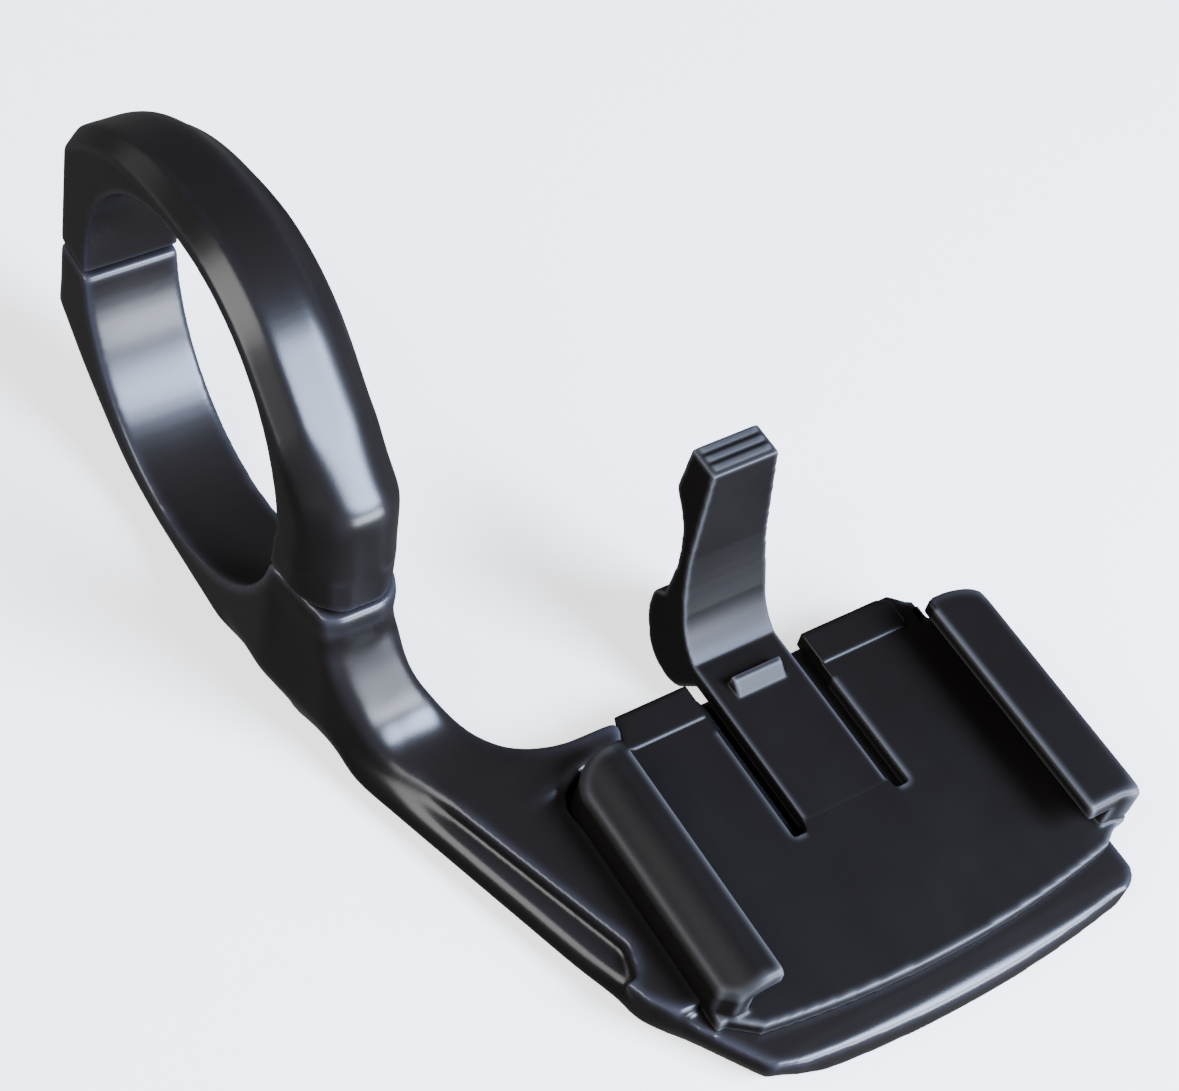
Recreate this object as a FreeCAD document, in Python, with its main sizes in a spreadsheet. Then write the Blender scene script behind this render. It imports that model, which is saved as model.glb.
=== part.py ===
"""Out-front bike computer mount: a two-piece ring clamp, an arm, and a slide-in cradle with a latch.

Frame, in millimetres: the origin is the centre of the clamp's bore, +X runs along the handlebar,
+Y points back to the rider, and +Z points up, square to the cradle's floor.
"""
import FreeCAD, Part
import math
import os

import Sketcher

SIZES = {
    # Clamp ring
    "bore_radius": 15.9,
    "band_width": 8.6,
    "cap_radius": 18.1,
    "crown_radius": 26.0,
    "crown_back": 3.0,
    "ring_radius": 19.2,
    "edge_width": 1.9,
    "edge_depth": 1.2,
    "split_height": -2.6,
    "split_gap": 0.5,
    "rear_face": 21.2,
    "rear_corner_height": 8.8,
    "rear_lug_foot": -10.2,
    "rear_heel_back": 9.2,
    "front_face": 22.7,
    "front_draft": 1.1,
    "facet_back": 10.4,
    "facet_corner": 2.8,
    "nose_round": 3.0,
    "insert_hole_relief": 1.5,
    "bevel_slope": 0.45,
    # Arm
    "base_bottom": -19.2,
    "plate_top": -14.5,
    "ramp_knee_reach": 1.2,
    "ramp_knee_height": -6.5,
    "ramp_foot_reach": 5.0,
    "ramp_foot_round": 4.5,
    "ramp_knee_round": 3.0,
    "bead_width": 2.4,
    "bead_height": 3.4,
    "bead_crest": 1.4,
    "bead_under": 2.0,
    "bead_start_x": -2.3,
    "bead_start_reach": 27.2,
    "bead_end_x": 5.8,
    "bead_end_reach": 52.5,
    "bead_root_x": -3.1,
    "bead_root_reach": 22.0,
    "base_left_x": 7.1,
    "base_left_reach": 56.2,
    "base_mid_x": 9.9,
    "base_mid_reach": 60.2,
    "recess_top": -7.0,
    "recess_start": 23.4,
    "recess_depth": 1.5,
    "recess_lead": 0.7,
    "recess_root_reach": 3.1,
    "recess_curve": 22.0,
    "recess_widening": 3.0,
    "recess_end": 2.6,
    "arm_left_root": -1.4,
    "arm_left_mid": 8.3,
    "arm_mid_reach": 51.5,
    "arm_left_front": 15.6,
    "front_corner_reach": 65.6,
    "waist_right": 5.0,
    "waist_reach": 26.3,
    "waist_notch": 1.2,
    "waist_round": 14.0,
    "shoulder_right": 12.7,
    "shoulder_round": 5.0,
    "shoulder_run": 2.4,
    "outer_margin": 1.4,
    "outer_corner": 3.6,
    "ring_taper_reach": 16.0,
    # Cradle
    "cradle_centre": 31.1,
    "cradle_half_width": 20.4,
    "cradle_back": 34.2,
    "cradle_front": 62.3,
    "cradle_bulge": 1.5,
    "floor_top": -14.0,
    "floor_thickness": 1.5,
    "cradle_clearance": 0.3,
    "rail_top": -10.0,
    "rail_lip_half_gap": 15.4,
    "rail_wall": 2.6,
    "lip_thickness": 1.5,
    "rail_back": 37.6,
    "rail_front": 60.6,
    "rail_corner": 3.2,
    "rail_front_cut": 1.2,
    "rail_crest_round": 0.7,
    "border_width": 3.4,
    "border_height": 1.0,
    "border_end_gap": 1.6,
    # Lip of the base plate in front of the cradle
    "lip_top": -15.3,
    "lip_ridge": -16.6,
    "lip_reach": 67.0,
    "lip_bulge": 1.2,
    "lip_corner": 2.0,
    "lip_round": 0.8,
    # Latch
    "tongue_half_width": 4.2,
    "slot_width": 1.7,
    "tongue_root": 49.9,
    "tongue_thickness": 1.5,
    "root_clearance": 0.04,
    "latch_travel_room": 2.2,
    "tooth_half_width": 2.45,
    "tooth_back": 35.5,
    "tooth_length": 2.1,
    "tooth_height": 1.0,
    "lever_top": 4.2,
    "lever_back": 24.2,
    "lever_head": 3.1,
    "tongue_end": 8.8,
    "lever_top_half_width": 3.2,
    "lever_taper_foot": -9.0,
    "rib_pitch": 0.95,
    "rib_radius": 0.42,
    # Fasteners
    "front_screw_reach": 19.2,
    "front_shank": 1.5,
    "front_head": 2.75,
    "front_head_height": 3.0,
    "front_seat": -8.5,
    "rear_screw_back": 18.4,
    "rear_shank": 1.0,
    "rear_head": 1.75,
    "rear_head_height": 2.0,
    "rear_seat": -7.2,
    "insert_length": 4.0,
    "insert_wall": 0.5,
    "hole_clearance": 0.1,
    "thread_clearance": 0.05,
    "cradle_screw_shank": 0.9,
    "cradle_screw_head": 1.8,
    "cradle_screw_tip": -14.5,
    "cradle_screw_skin": 0.25,
    "cradle_screw_inset": 4.4,
    "cradle_screw_head_height": 1.2,
    "cradle_seat_depth": 1.6,
    "boss_radius": 2.0,
    "boss_depth": 1.3,
    "cradle_screw_back": 42.5,
    "cradle_screw_front": 56.0,
}

doc = FreeCAD.newDocument("bike_computer_mount")
sheet = doc.addObject("Spreadsheet::Sheet", "Sizes")
for row, (alias, number) in enumerate(SIZES.items(), start=1):
    sheet.set(f"A{row}", alias.replace("_", " "))
    sheet.set(f"B{row}", str(number))
    sheet.setAlias(f"B{row}", alias)
doc.recompute()


class Size:
    """A length that is known both as a number and as an expression on the sheet's cells."""

    def __init__(self, number, text):
        self.number = number
        self.text = text

    def joined(self, other, sign, number):
        other_text = other.text if isinstance(other, Size) else repr(other)
        return Size(number, f"({self.text} {sign} {other_text})")

    def __rmul__(self, other):
        return self * other

    def __rsub__(self, other):
        return -self + other

    def __add__(self, other):
        return self.joined(other, "+", self.number + plain(other))

    def __sub__(self, other):
        return self.joined(other, "-", self.number - plain(other))

    def __mul__(self, other):
        return self.joined(other, "*", self.number * plain(other))

    def __truediv__(self, other):
        return self.joined(other, "/", self.number / plain(other))

    def __neg__(self):
        return Size(-self.number, f"(-1 * {self.text})")


def plain(value):
    """The number behind a size, or the number itself."""
    return value.number if isinstance(value, Size) else value


def named(alias):
    """The size that a cell of the sheet holds."""
    return Size(SIZES[alias], f"Sizes.{alias}")


def root(size):
    """The square root of a size, as a size."""
    return Size(math.sqrt(size.number), f"sqrt({size.text})")


def as_size(value):
    """A plain number turned into a size, so that both can be bound the same way."""
    return value if isinstance(value, Size) else Size(value, repr(float(value)))


def bind(item, path, value):
    """Ties a property or a constraint to its expression."""
    item.setExpression(path, as_size(value).text)


def new_body(label):
    body = doc.addObject("PartDesign::Body", label)
    body.Label = label
    return body


def new_sketch(body, name, role, lift=0.0):
    """A sketch on one of the body's own origin planes, lifted along the plane's normal."""
    sketch = body.newObject("Sketcher::SketchObject", name)
    plane = next(item for item in body.Origin.OriginFeatures if item.Role == role)
    sketch.AttachmentSupport = [(plane, "")]
    sketch.MapMode = "FlatFace"
    bind(sketch, "AttachmentOffset.Base.z", lift)
    return sketch


def turn_sketch(sketch, axis, angle, across=0, up=0):
    """Turns a sketch about one of its own axes, in degrees, and moves its origin on its plane."""
    offset = sketch.AttachmentOffset
    offset.Rotation = FreeCAD.Rotation(axis, angle.number)
    sketch.AttachmentOffset = offset
    bind(sketch, "AttachmentOffset.Rotation.Angle", angle)
    bind(sketch, "AttachmentOffset.Base.x", across)
    bind(sketch, "AttachmentOffset.Base.y", up)


def slope_angle(run, rise):
    """The angle of a slope in degrees, as a size."""
    return Size(math.degrees(math.atan2(run.number, rise.number)), f"(atan({run.text} / {rise.text}) / 1deg)")


def pin_point(sketch, edge, end, across, up):
    """Holds one end of an edge at a place that is given by two sizes."""
    for kind, value in (("DistanceX", across), ("DistanceY", up)):
        held = Sketcher.Constraint(kind, -1, 1, edge, end, plain(value))
        bind(sketch, f"Constraints[{sketch.addConstraint(held)}]", value)


def arc_between(start, end, radius):
    """An arc from start to end: its centre is on the left for a positive radius."""
    chord = end - start
    half = chord.Length / 2.0
    left = FreeCAD.Vector(-chord.y, chord.x, 0).normalize()
    size = abs(radius)
    side = 1.0 if radius > 0 else -1.0
    centre = start + chord / 2.0 + left * (side * math.sqrt(max(size * size - half * half, 0.0)))
    first, last = (start, end) if radius > 0 else (end, start)
    begin = math.atan2(first.y - centre.y, first.x - centre.x)
    finish = math.atan2(last.y - centre.y, last.x - centre.x)
    circle = Part.Circle(centre, FreeCAD.Vector(0, 0, 1), size)
    return Part.ArcOfCircle(circle, begin, finish)


def draw_outline(sketch, corners):
    """Draws a closed outline. A corner is (across, up), or (across, up, radius of the arc that follows)."""
    spots = [FreeCAD.Vector(plain(corner[0]), plain(corner[1]), 0) for corner in corners]
    ends = []
    for index, corner in enumerate(corners):
        start, end = spots[index], spots[(index + 1) % len(spots)]
        if len(corner) == 2:
            ends.append((sketch.addGeometry(Part.LineSegment(start, end)), 1, 2))
            continue
        edge = sketch.addGeometry(arc_between(start, end, plain(corner[2])))
        ends.append((edge, 1, 2) if plain(corner[2]) > 0 else (edge, 2, 1))
    for index, (edge, start, end) in enumerate(ends):
        following, following_start, _ = ends[(index + 1) % len(ends)]
        sketch.addConstraint(Sketcher.Constraint("Coincident", edge, end, following, following_start))
        pin_point(sketch, edge, start, corners[index][0], corners[index][1])
    for index, corner in enumerate(corners):
        if len(corner) == 3:
            size = corner[2] if plain(corner[2]) > 0 else -as_size(corner[2])
            held = Sketcher.Constraint("Radius", ends[index][0], plain(size))
            bind(sketch, f"Constraints[{sketch.addConstraint(held)}]", size)


def draw_circle(sketch, across, up, radius):
    centre = FreeCAD.Vector(plain(across), plain(up), 0)
    edge = sketch.addGeometry(Part.Circle(centre, FreeCAD.Vector(0, 0, 1), plain(radius)))
    pin_point(sketch, edge, 3, across, up)
    held = Sketcher.Constraint("Radius", edge, plain(radius))
    bind(sketch, f"Constraints[{sketch.addConstraint(held)}]", radius)


def feature(body, kind, name, sketch, length=None, both_ways=False, reverse=False):
    """A pad or a pocket of a sketch. Without a length a pocket goes through everything."""
    item = body.newObject(f"PartDesign::{kind}", name)
    item.Profile = sketch
    item.Midplane = both_ways
    item.Reversed = reverse
    if length is None:
        item.Type = "ThroughAll"
    else:
        bind(item, "Length", length)
    sketch.Visibility = False
    return item


def edges_where(item, test):
    """Names of the edges of a feature for which the test holds."""
    doc.recompute()
    edges = item.Shape.Edges
    return [f"Edge{number}" for number, edge in enumerate(edges, start=1) if test(edge)]


def dress(body, kind, name, test, size, second=None):
    """A fillet or a chamfer on the edges that pass a test."""
    base = body.Tip
    chosen = edges_where(base, test)
    if not chosen:
        raise ValueError(f"{name}: no edge found")
    item = body.newObject(f"PartDesign::{kind}", name)
    item.Base = (base, chosen)
    if kind == "Fillet":
        bind(item, "Radius", size)
    else:
        bind(item, "Size", size)
        if second is not None:
            item.ChamferType = "Two distances"
            bind(item, "Size2", second)
    doc.recompute()
    if {"Invalid", "Error"} & set(item.State):
        raise RuntimeError(f"{name} failed")
    return item


def is_straight(edge, direction, slack=0.02):
    """Whether an edge is a straight run along a direction."""
    if edge.Curve.TypeId != "Part::GeomLine":
        return False
    run = edge.Vertexes[-1].Point - edge.Vertexes[0].Point
    return run.Length > slack and abs(abs(run.normalize().dot(direction)) - 1.0) < slack


ALONG_X, ALONG_Y, ALONG_Z = FreeCAD.Vector(1, 0, 0), FreeCAD.Vector(0, 1, 0), FreeCAD.Vector(0, 0, 1)
FAR = Size(90.0, "90.0")

bore_radius, band_width = named("bore_radius"), named("band_width")
half_band = band_width / 2
split_low = named("split_height") - named("split_gap") / 2
split_high = named("split_height") + named("split_gap") / 2
front_face, rear_face = named("front_face"), named("rear_face")
base_bottom, plate_top = named("base_bottom"), named("plate_top")
centre_x = named("cradle_centre")
pocket_floor = named("floor_top") - named("floor_thickness")


def bore_reach(height):
    """How far the bore's wall is from the centre at a height."""
    return root(bore_radius * bore_radius - height * height)


def cap_outline(inset):
    """Outside of the cap seen along the bar, drawn in by an inset at the bevelled sides."""
    radius, back, corner = named("cap_radius"), named("facet_back"), named("facet_corner")
    height = root(radius * radius - back * back)
    front_top = front_face - named("front_draft")
    corner_height = height - (front_top - back) * back / height
    turn_y = corner - front_top
    turn_z = corner_height - corner * height / (radius + back)
    tight = corner - inset
    shrink = (radius - inset) / radius
    crown_back = named("crown_back")
    crown_height = root(radius * radius - crown_back * crown_back)
    return [
        (rear_face - inset, split_high),
        (rear_face - inset, named("rear_corner_height") - inset * 0.45, named("crown_radius") - inset),
        (crown_back * shrink, crown_height * shrink, radius - inset),
        (-back * shrink, height * shrink),
        (turn_y - tight * back / radius, turn_z + tight * height / radius, tight),
        (turn_y - tight, turn_z),
        (inset - front_face, split_high),
    ]


def build_cap():
    """Upper half of the clamp: a round band with a flat facet in front and a lug at each end."""
    body = new_body("clamp_cap")
    depth, flat = named("edge_depth"), half_band - named("edge_width")
    sections = []
    for name, lift, inset in (("left_side", -half_band, depth), ("left_flat", -flat, 0),
                              ("right_flat", flat, 0), ("right_side", half_band, depth)):
        section = new_sketch(body, f"cap_{name}", "YZ_Plane", lift)
        draw_outline(section, cap_outline(inset))
        sections.append(section)
    doc.recompute()
    shell = body.newObject("PartDesign::AdditiveLoft", "cap_solid")
    shell.Profile = sections[0]
    shell.Sections = sections[1:]
    shell.Ruled = True
    doc.recompute()
    bore = new_sketch(body, "cap_bore", "YZ_Plane")
    draw_circle(bore, 0, 0, bore_radius)
    feature(body, "Pocket", "cap_bore_cut", bore, band_width * 2, both_ways=True)
    doc.recompute()
    holes = new_sketch(body, "insert_seats", "XY_Plane", split_high)
    draw_circle(holes, 0, -named("front_screw_reach"), insert_radius("front"))
    draw_circle(holes, 0, named("rear_screw_back"), insert_radius("rear"))
    feature(body, "Pocket", "insert_holes", holes, named("insert_length") + named("insert_hole_relief"),
            reverse=True)
    doc.recompute()
    nose = new_sketch(body, "cap_nose", "XY_Plane", split_high)
    draw_nose(nose, -front_face)
    feature(body, "Pocket", "cap_nose_round", nose, reverse=True)
    doc.recompute()
    return body


def draw_nose(sketch, front):
    """The two waste corners outside the nose's rounding in plan."""
    round_off, margin = named("nose_round"), 2.0
    for side in (-1, 1):
        edge, start = half_band * side, (half_band - round_off) * side
        draw_outline(sketch, [
            (edge, front + round_off, -round_off * side),
            (start, front), (start, front - margin),
            (edge + margin * side, front - margin), (edge + margin * side, front + round_off),
        ])


def insert_radius(place):
    return named(f"{place}_shank") + named("thread_clearance") + named("insert_wall")


def build_insert(place, across):
    """Brass sleeve that takes a clamp screw's thread."""
    body = new_body(f"{place}_threaded_insert")
    ring = new_sketch(body, f"{place}_insert_ring", "XY_Plane", split_high)
    draw_circle(ring, 0, across, insert_radius(place))
    feature(body, "Pad", f"{place}_insert_sleeve", ring, named("insert_length"))
    hole = new_sketch(body, f"{place}_insert_bore", "XY_Plane", split_high)
    draw_circle(hole, 0, across, named(f"{place}_shank") + named("thread_clearance"))
    doc.recompute()
    feature(body, "Pocket", f"{place}_insert_thread", hole, named("insert_length"), reverse=True)
    return body


def build_clamp_screw(place, across):
    """Socket head screw that comes from below, with its head on the seat in the arm."""
    body = new_body(f"{place}_clamp_screw")
    seat = named(f"{place}_seat")
    shank = new_sketch(body, f"{place}_screw_shank", "XY_Plane", seat)
    draw_circle(shank, 0, across, named(f"{place}_shank"))
    reach = split_high + named("insert_length") - seat
    feature(body, "Pad", f"{place}_screw_body", shank, reach)
    head = new_sketch(body, f"{place}_screw_head", "XY_Plane", seat)
    draw_circle(head, 0, across, named(f"{place}_head"))
    doc.recompute()
    feature(body, "Pad", f"{place}_screw_cap", head, named(f"{place}_head_height"), reverse=True)
    socket = new_sketch(body, f"{place}_screw_socket", "XY_Plane", seat - named(f"{place}_head_height"))
    flat = named(f"{place}_shank") * 0.85
    point = flat * (2 / math.sqrt(3))
    draw_outline(socket, [
        (point, across), (point / 2, across + flat), (-point / 2, across + flat),
        (-point, across), (-point / 2, across - flat), (point / 2, across - flat),
    ])
    doc.recompute()
    feature(body, "Pocket", f"{place}_screw_key", socket, named(f"{place}_head_height") * 0.55,
            reverse=True)
    return body


def build_arm():
    """Lower half of the clamp, block, ramp, flat arm and base plate, all one moulding."""
    body = new_body("arm")
    side = new_sketch(body, "arm_side", "YZ_Plane")
    ring = named("ring_radius")
    heel = named("rear_heel_back")
    heel_height = -root(ring * ring - heel * heel)
    knee = front_face + named("ramp_knee_reach")
    foot = front_face + named("ramp_foot_reach")
    draw_outline(side, [
        (bore_reach(split_low), split_low, -bore_radius),
        (-bore_reach(split_low), split_low),
        (-front_face, split_low),
        (-knee, named("ramp_knee_height")),
        (-foot, plate_top),
        (-FAR, plate_top),
        (-FAR, base_bottom),
        (0, base_bottom, ring),
        (heel, heel_height),
        (rear_face, named("rear_lug_foot")),
        (rear_face, split_low),
    ])
    feature(body, "Pad", "arm_profile", side, FAR * 2, both_ways=True)
    dress(body, "Fillet", "ramp_foot",
          lambda edge: is_straight(edge, ALONG_X)
          and abs(edge.CenterOfMass.z - SIZES["plate_top"]) < 0.01
          and edge.CenterOfMass.y > -SIZES["arm_mid_reach"], named("ramp_foot_round"))
    dress(body, "Fillet", "ramp_knee",
          lambda edge: is_straight(edge, ALONG_X)
          and abs(edge.CenterOfMass.z - SIZES["ramp_knee_height"]) < 0.01, named("ramp_knee_round"))
    bevel_ring(body)
    round_block(body)
    trim_plan(body)
    round_bead(body)
    shape_front_lip(body)
    seat_cradle(body)
    drill_arm(body)
    return body


def bevel_ring(body):
    """Bevels both outer edges of the lower half ring, as on the cap."""
    ring, heel = named("ring_radius"), named("rear_heel_back")
    heel_height = -root(ring * ring - heel * heel)
    depth, width, past = named("edge_depth"), named("edge_width"), named("split_gap") / 5
    slope = depth / width
    margin = 3.0
    front, above = -named("front_screw_reach"), split_low + margin / 3
    for side, word in ((-1, "left"), (1, "right")):
        sections = []
        for name, lift, inset in (("outside", half_band + past, depth + slope * past),
                                  ("inside", half_band - width - past, -slope * past)):
            section = new_sketch(body, f"bevel_{word}_{name}", "YZ_Plane", lift * side)
            scale = (ring - inset) / ring
            back = rear_face - inset
            draw_outline(section, [
                (back, above),
                (back, named("rear_lug_foot") + inset * named("bevel_slope")),
                (heel * scale, heel_height * scale, inset - ring),
                (0, inset - ring),
                (front, inset - ring),
                (front, base_bottom - margin),
                (rear_face + margin, base_bottom - margin),
                (rear_face + margin, above),
            ])
            sections.append(section)
        doc.recompute()
        cut = body.newObject("PartDesign::SubtractiveLoft", f"ring_bevel_{word}")
        cut.Profile = sections[0]
        cut.Sections = sections[1:]
        cut.Ruled = True
        doc.recompute()


def round_block(body):
    """Rounds the front block in plan down to the notch, in line with the cap's nose."""
    nose = new_sketch(body, "block_nose", "XY_Plane", split_low + named("nose_round"))
    drop = split_low - named("ramp_knee_height")
    angle = slope_angle(named("ramp_knee_reach"), drop)
    shift = named("nose_round") * named("ramp_knee_reach") / drop
    turn_sketch(nose, ALONG_X, -angle, 0, shift - front_face)
    draw_nose(nose, Size(0.0, "0.0"))
    depth = split_low + named("nose_round") - named("recess_top")
    feature(body, "Pocket", "block_nose_round", nose, depth)
    doc.recompute()


def trim_plan(body):
    """Cuts the plan outline: the band's width at the ring, the bead below and the wall above it."""
    right_waist = named("waist_right")
    start, past = named("recess_start"), 1.0
    outer_right = centre_x + named("cradle_half_width") - named("outer_margin")
    left_root, left_mid = named("arm_left_root"), named("arm_left_mid")
    front_left, front_reach = named("arm_left_front"), named("front_corner_reach")
    below = new_sketch(body, "plan_below", "XY_Plane", base_bottom - past)
    draw_outline(below, [
        (-FAR, FAR), (-FAR, -FAR), (front_left - named("lip_corner"), -FAR),
        (front_left - named("lip_corner"), -front_reach),
        (named("base_mid_x"), -named("base_mid_reach")),
        (named("base_left_x"), -named("base_left_reach")),
        (named("bead_end_x"), -named("bead_end_reach")),
        (named("bead_start_x"), -named("bead_start_reach")),
        (named("bead_root_x"), -named("bead_root_reach")),
        (-half_band, -named("ring_taper_reach")),
        (-half_band, FAR),
    ])
    feature(body, "Pocket", "left_side", below, reverse=True)
    doc.recompute()
    other = new_sketch(body, "plan_right", "XY_Plane", base_bottom - past)
    shoulder, back = named("shoulder_right"), named("cradle_back")
    waist_start = -start - named("waist_notch") / 2
    draw_outline(other, [
        (FAR * 2, FAR), (half_band, FAR), (half_band, waist_start),
        (right_waist - named("waist_notch"), waist_start),
        (right_waist, -named("waist_reach"), named("waist_round")),
        (shoulder, named("cradle_clearance") - back, named("shoulder_round")),
        (shoulder + named("shoulder_run"), -back),
        (outer_right - named("outer_corner"), -back),
        (outer_right, -back - named("outer_corner")),
        (outer_right, -FAR), (FAR * 2, -FAR),
    ])
    feature(body, "Pocket", "right_side", other, reverse=True)
    doc.recompute()
    low = base_bottom + named("bead_height")
    wall = new_sketch(body, "wall_recess", "XY_Plane", low)
    cut_left = named("recess_depth") - half_band
    lead, root_reach = named("recess_lead"), named("recess_root_reach")
    mid_reach = named("arm_mid_reach")
    reach = mid_reach + named("recess_end")
    draw_outline(wall, [
        (-FAR, -start), (cut_left - lead, -start), (cut_left, -start - lead),
        (left_root, -start - root_reach, named("recess_curve")),
        (left_root + named("recess_widening"), -start - root_reach * 3),
        (left_mid, -mid_reach), (left_mid - lead, -reach), (-FAR, -reach),
    ])
    feature(body, "Pocket", "side_recess", wall, named("recess_top") - low, reverse=True)
    doc.recompute()


def round_bead(body):
    """Rounds the bead along the arm's lower left edge, by a cut that runs along it."""
    run = named("bead_end_x") - named("bead_start_x")
    rise = named("bead_end_reach") - named("bead_start_reach")
    begin = named("bead_root_reach")
    first_x = named("bead_start_x") - (named("bead_start_reach") - begin) * run / rise
    crest, under = named("bead_crest"), named("bead_under")
    top = base_bottom + named("bead_height")
    waste = new_sketch(body, "bead_waste", "XZ_Plane", begin)
    turn_sketch(waste, ALONG_Y, slope_angle(run, rise), first_x, top)
    draw_outline(waste, [
        (crest, 0, crest), (0, -crest, under), (under, -crest - under),
        (under, -crest - under - 2.0), (-under, -crest - under - 2.0), (-under, 0),
    ])
    feature(body, "Pocket", "bead_round", waste, reach_of(run, rise), reverse=True)
    doc.recompute()


def reach_of(run, rise):
    """Length of a slope, with a little more at its far end."""
    return root(run * run + rise * rise) * 1.3


def shape_front_lip(body):
    """Cuts the bulged front edge and the slope of the lip."""
    margin = 4.0
    front = new_sketch(body, "front_edge", "XY_Plane", base_bottom - 1)
    left = named("arm_left_front")
    side = centre_x + named("cradle_half_width") - named("outer_margin")
    right = side - named("lip_corner")
    bulge = named("lip_bulge")
    chord = (right - left) / 2
    bow = (chord * chord + bulge * bulge) / (bulge * 2)
    reach = named("lip_reach") - bulge
    corner = named("lip_corner")
    draw_outline(front, [
        (left - corner * 3, -FAR * 2), (side + corner, -FAR * 2), (side + corner, corner - reach),
        (side, corner - reach, -corner), (right, -reach, -bow), (left, -reach),
        (left - corner * 3, corner - reach),
    ])
    feature(body, "Pocket", "front_cut", front, reverse=True)
    doc.recompute()
    slope = new_sketch(body, "lip_slope", "YZ_Plane")
    edge, top = named("cradle_front"), named("lip_top")
    hinge = edge + named("cradle_bulge")
    fall = (top - named("lip_ridge")) / (named("lip_reach") - hinge)
    above, behind = named("plate_top") + margin, margin - edge
    draw_outline(slope, [
        (behind, above), (behind, top), (-hinge, top),
        (-FAR, top - (FAR - hinge) * fall), (-FAR, above),
    ])
    feature(body, "Pocket", "lip_top_cut", slope, FAR * 2, both_ways=True)
    ridge = SIZES["lip_ridge"]
    dress(body, "Fillet", "lip_ridge_round",
          lambda edge: edge.BoundBox.XLength > SIZES["cradle_half_width"]
          and edge.CenterOfMass.y < -SIZES["cradle_front"]
          and abs(edge.CenterOfMass.z - ridge) < SIZES["lip_bulge"] / 2, named("lip_round"))


def seat_cradle(body):
    """Sinks a shallow pocket for the cradle and a deeper one that the latch is pressed into."""
    room = named("cradle_clearance")
    half = named("cradle_half_width") + room
    well = new_sketch(body, "cradle_well", "XY_Plane", pocket_floor)
    corner = named("rail_corner")
    rail_back = named("rail_back") - room
    draw_outline(well, [
        (centre_x - half, -FAR), (centre_x + half + 6.0, -FAR),
        (centre_x + half + 6.0, -named("cradle_back") + 4.0),
        (centre_x - named("rail_lip_half_gap") + 1.0, -named("cradle_back") + 4.0),
        (centre_x - named("rail_lip_half_gap") + 1.0, -rail_back),
        (centre_x - half + corner, -rail_back, corner),
        (centre_x - half, -rail_back - corner),
    ])
    feature(body, "Pocket", "cradle_seat", well, reverse=True)
    doc.recompute()
    relief = new_sketch(body, "latch_relief", "XY_Plane", pocket_floor - named("latch_travel_room"))
    reach = named("tongue_half_width") + room
    draw_outline(relief, [
        (centre_x - reach, -named("tongue_root") - 1.5), (centre_x + reach, -named("tongue_root") - 1.5),
        (centre_x + reach, 0), (centre_x - reach, 0),
    ])
    feature(body, "Pocket", "latch_pit", relief, named("latch_travel_room") + 2, reverse=True)
    doc.recompute()
    wells_floor = pocket_floor - named("boss_depth") - named("hole_clearance")
    wells = new_sketch(body, "boss_wells", "XY_Plane", wells_floor)
    for across, along in cradle_screw_places():
        draw_circle(wells, across, along, named("boss_radius") + named("hole_clearance"))
    feature(body, "Pocket", "boss_well_cut", wells, pocket_floor - wells_floor, reverse=True)
    doc.recompute()


def drill_arm(body):
    """Holes and counterbores for the clamp screws and the cradle's screws, from below."""
    clearance = named("hole_clearance")
    for place, across in (("front", -named("front_screw_reach")), ("rear", named("rear_screw_back"))):
        hole = new_sketch(body, f"{place}_hole", "XY_Plane", base_bottom - 1)
        draw_circle(hole, 0, across, named(f"{place}_shank") + clearance)
        feature(body, "Pocket", f"{place}_shank_hole", hole, reverse=True)
        doc.recompute()
        bore = new_sketch(body, f"{place}_counterbore", "XY_Plane", base_bottom - 1)
        draw_circle(bore, 0, across, named(f"{place}_head") + clearance)
        feature(body, "Pocket", f"{place}_head_hole", bore, named(f"{place}_seat") - base_bottom + 1,
                reverse=True)
        doc.recompute()
    hole = new_sketch(body, "cradle_screw_holes", "XY_Plane", base_bottom - 1)
    for across, along in cradle_screw_places():
        draw_circle(hole, across, along, named("cradle_screw_shank") + clearance)
    feature(body, "Pocket", "cradle_shank_holes", hole, reverse=True)
    doc.recompute()
    sink = new_sketch(body, "cradle_head_holes", "XY_Plane", base_bottom - 1)
    for across, along in cradle_screw_places():
        draw_circle(sink, across, along, named("cradle_screw_head") + clearance)
    depth = cradle_screw_seat() - base_bottom + 1
    feature(body, "Pocket", "cradle_counterbores", sink, depth, reverse=True)
    doc.recompute()


def cradle_screw_seat():
    """Height of the face that the cradle screws' heads press on."""
    return base_bottom + named("cradle_seat_depth")


def cradle_screw_places():
    """Centres of the four cradle screws, beside the two rails."""
    out = named("cradle_half_width") - named("cradle_screw_inset")
    return [(centre_x + out * side, -named(f"cradle_screw_{end}"))
            for side in (-1, 1) for end in ("back", "front")]


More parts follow.
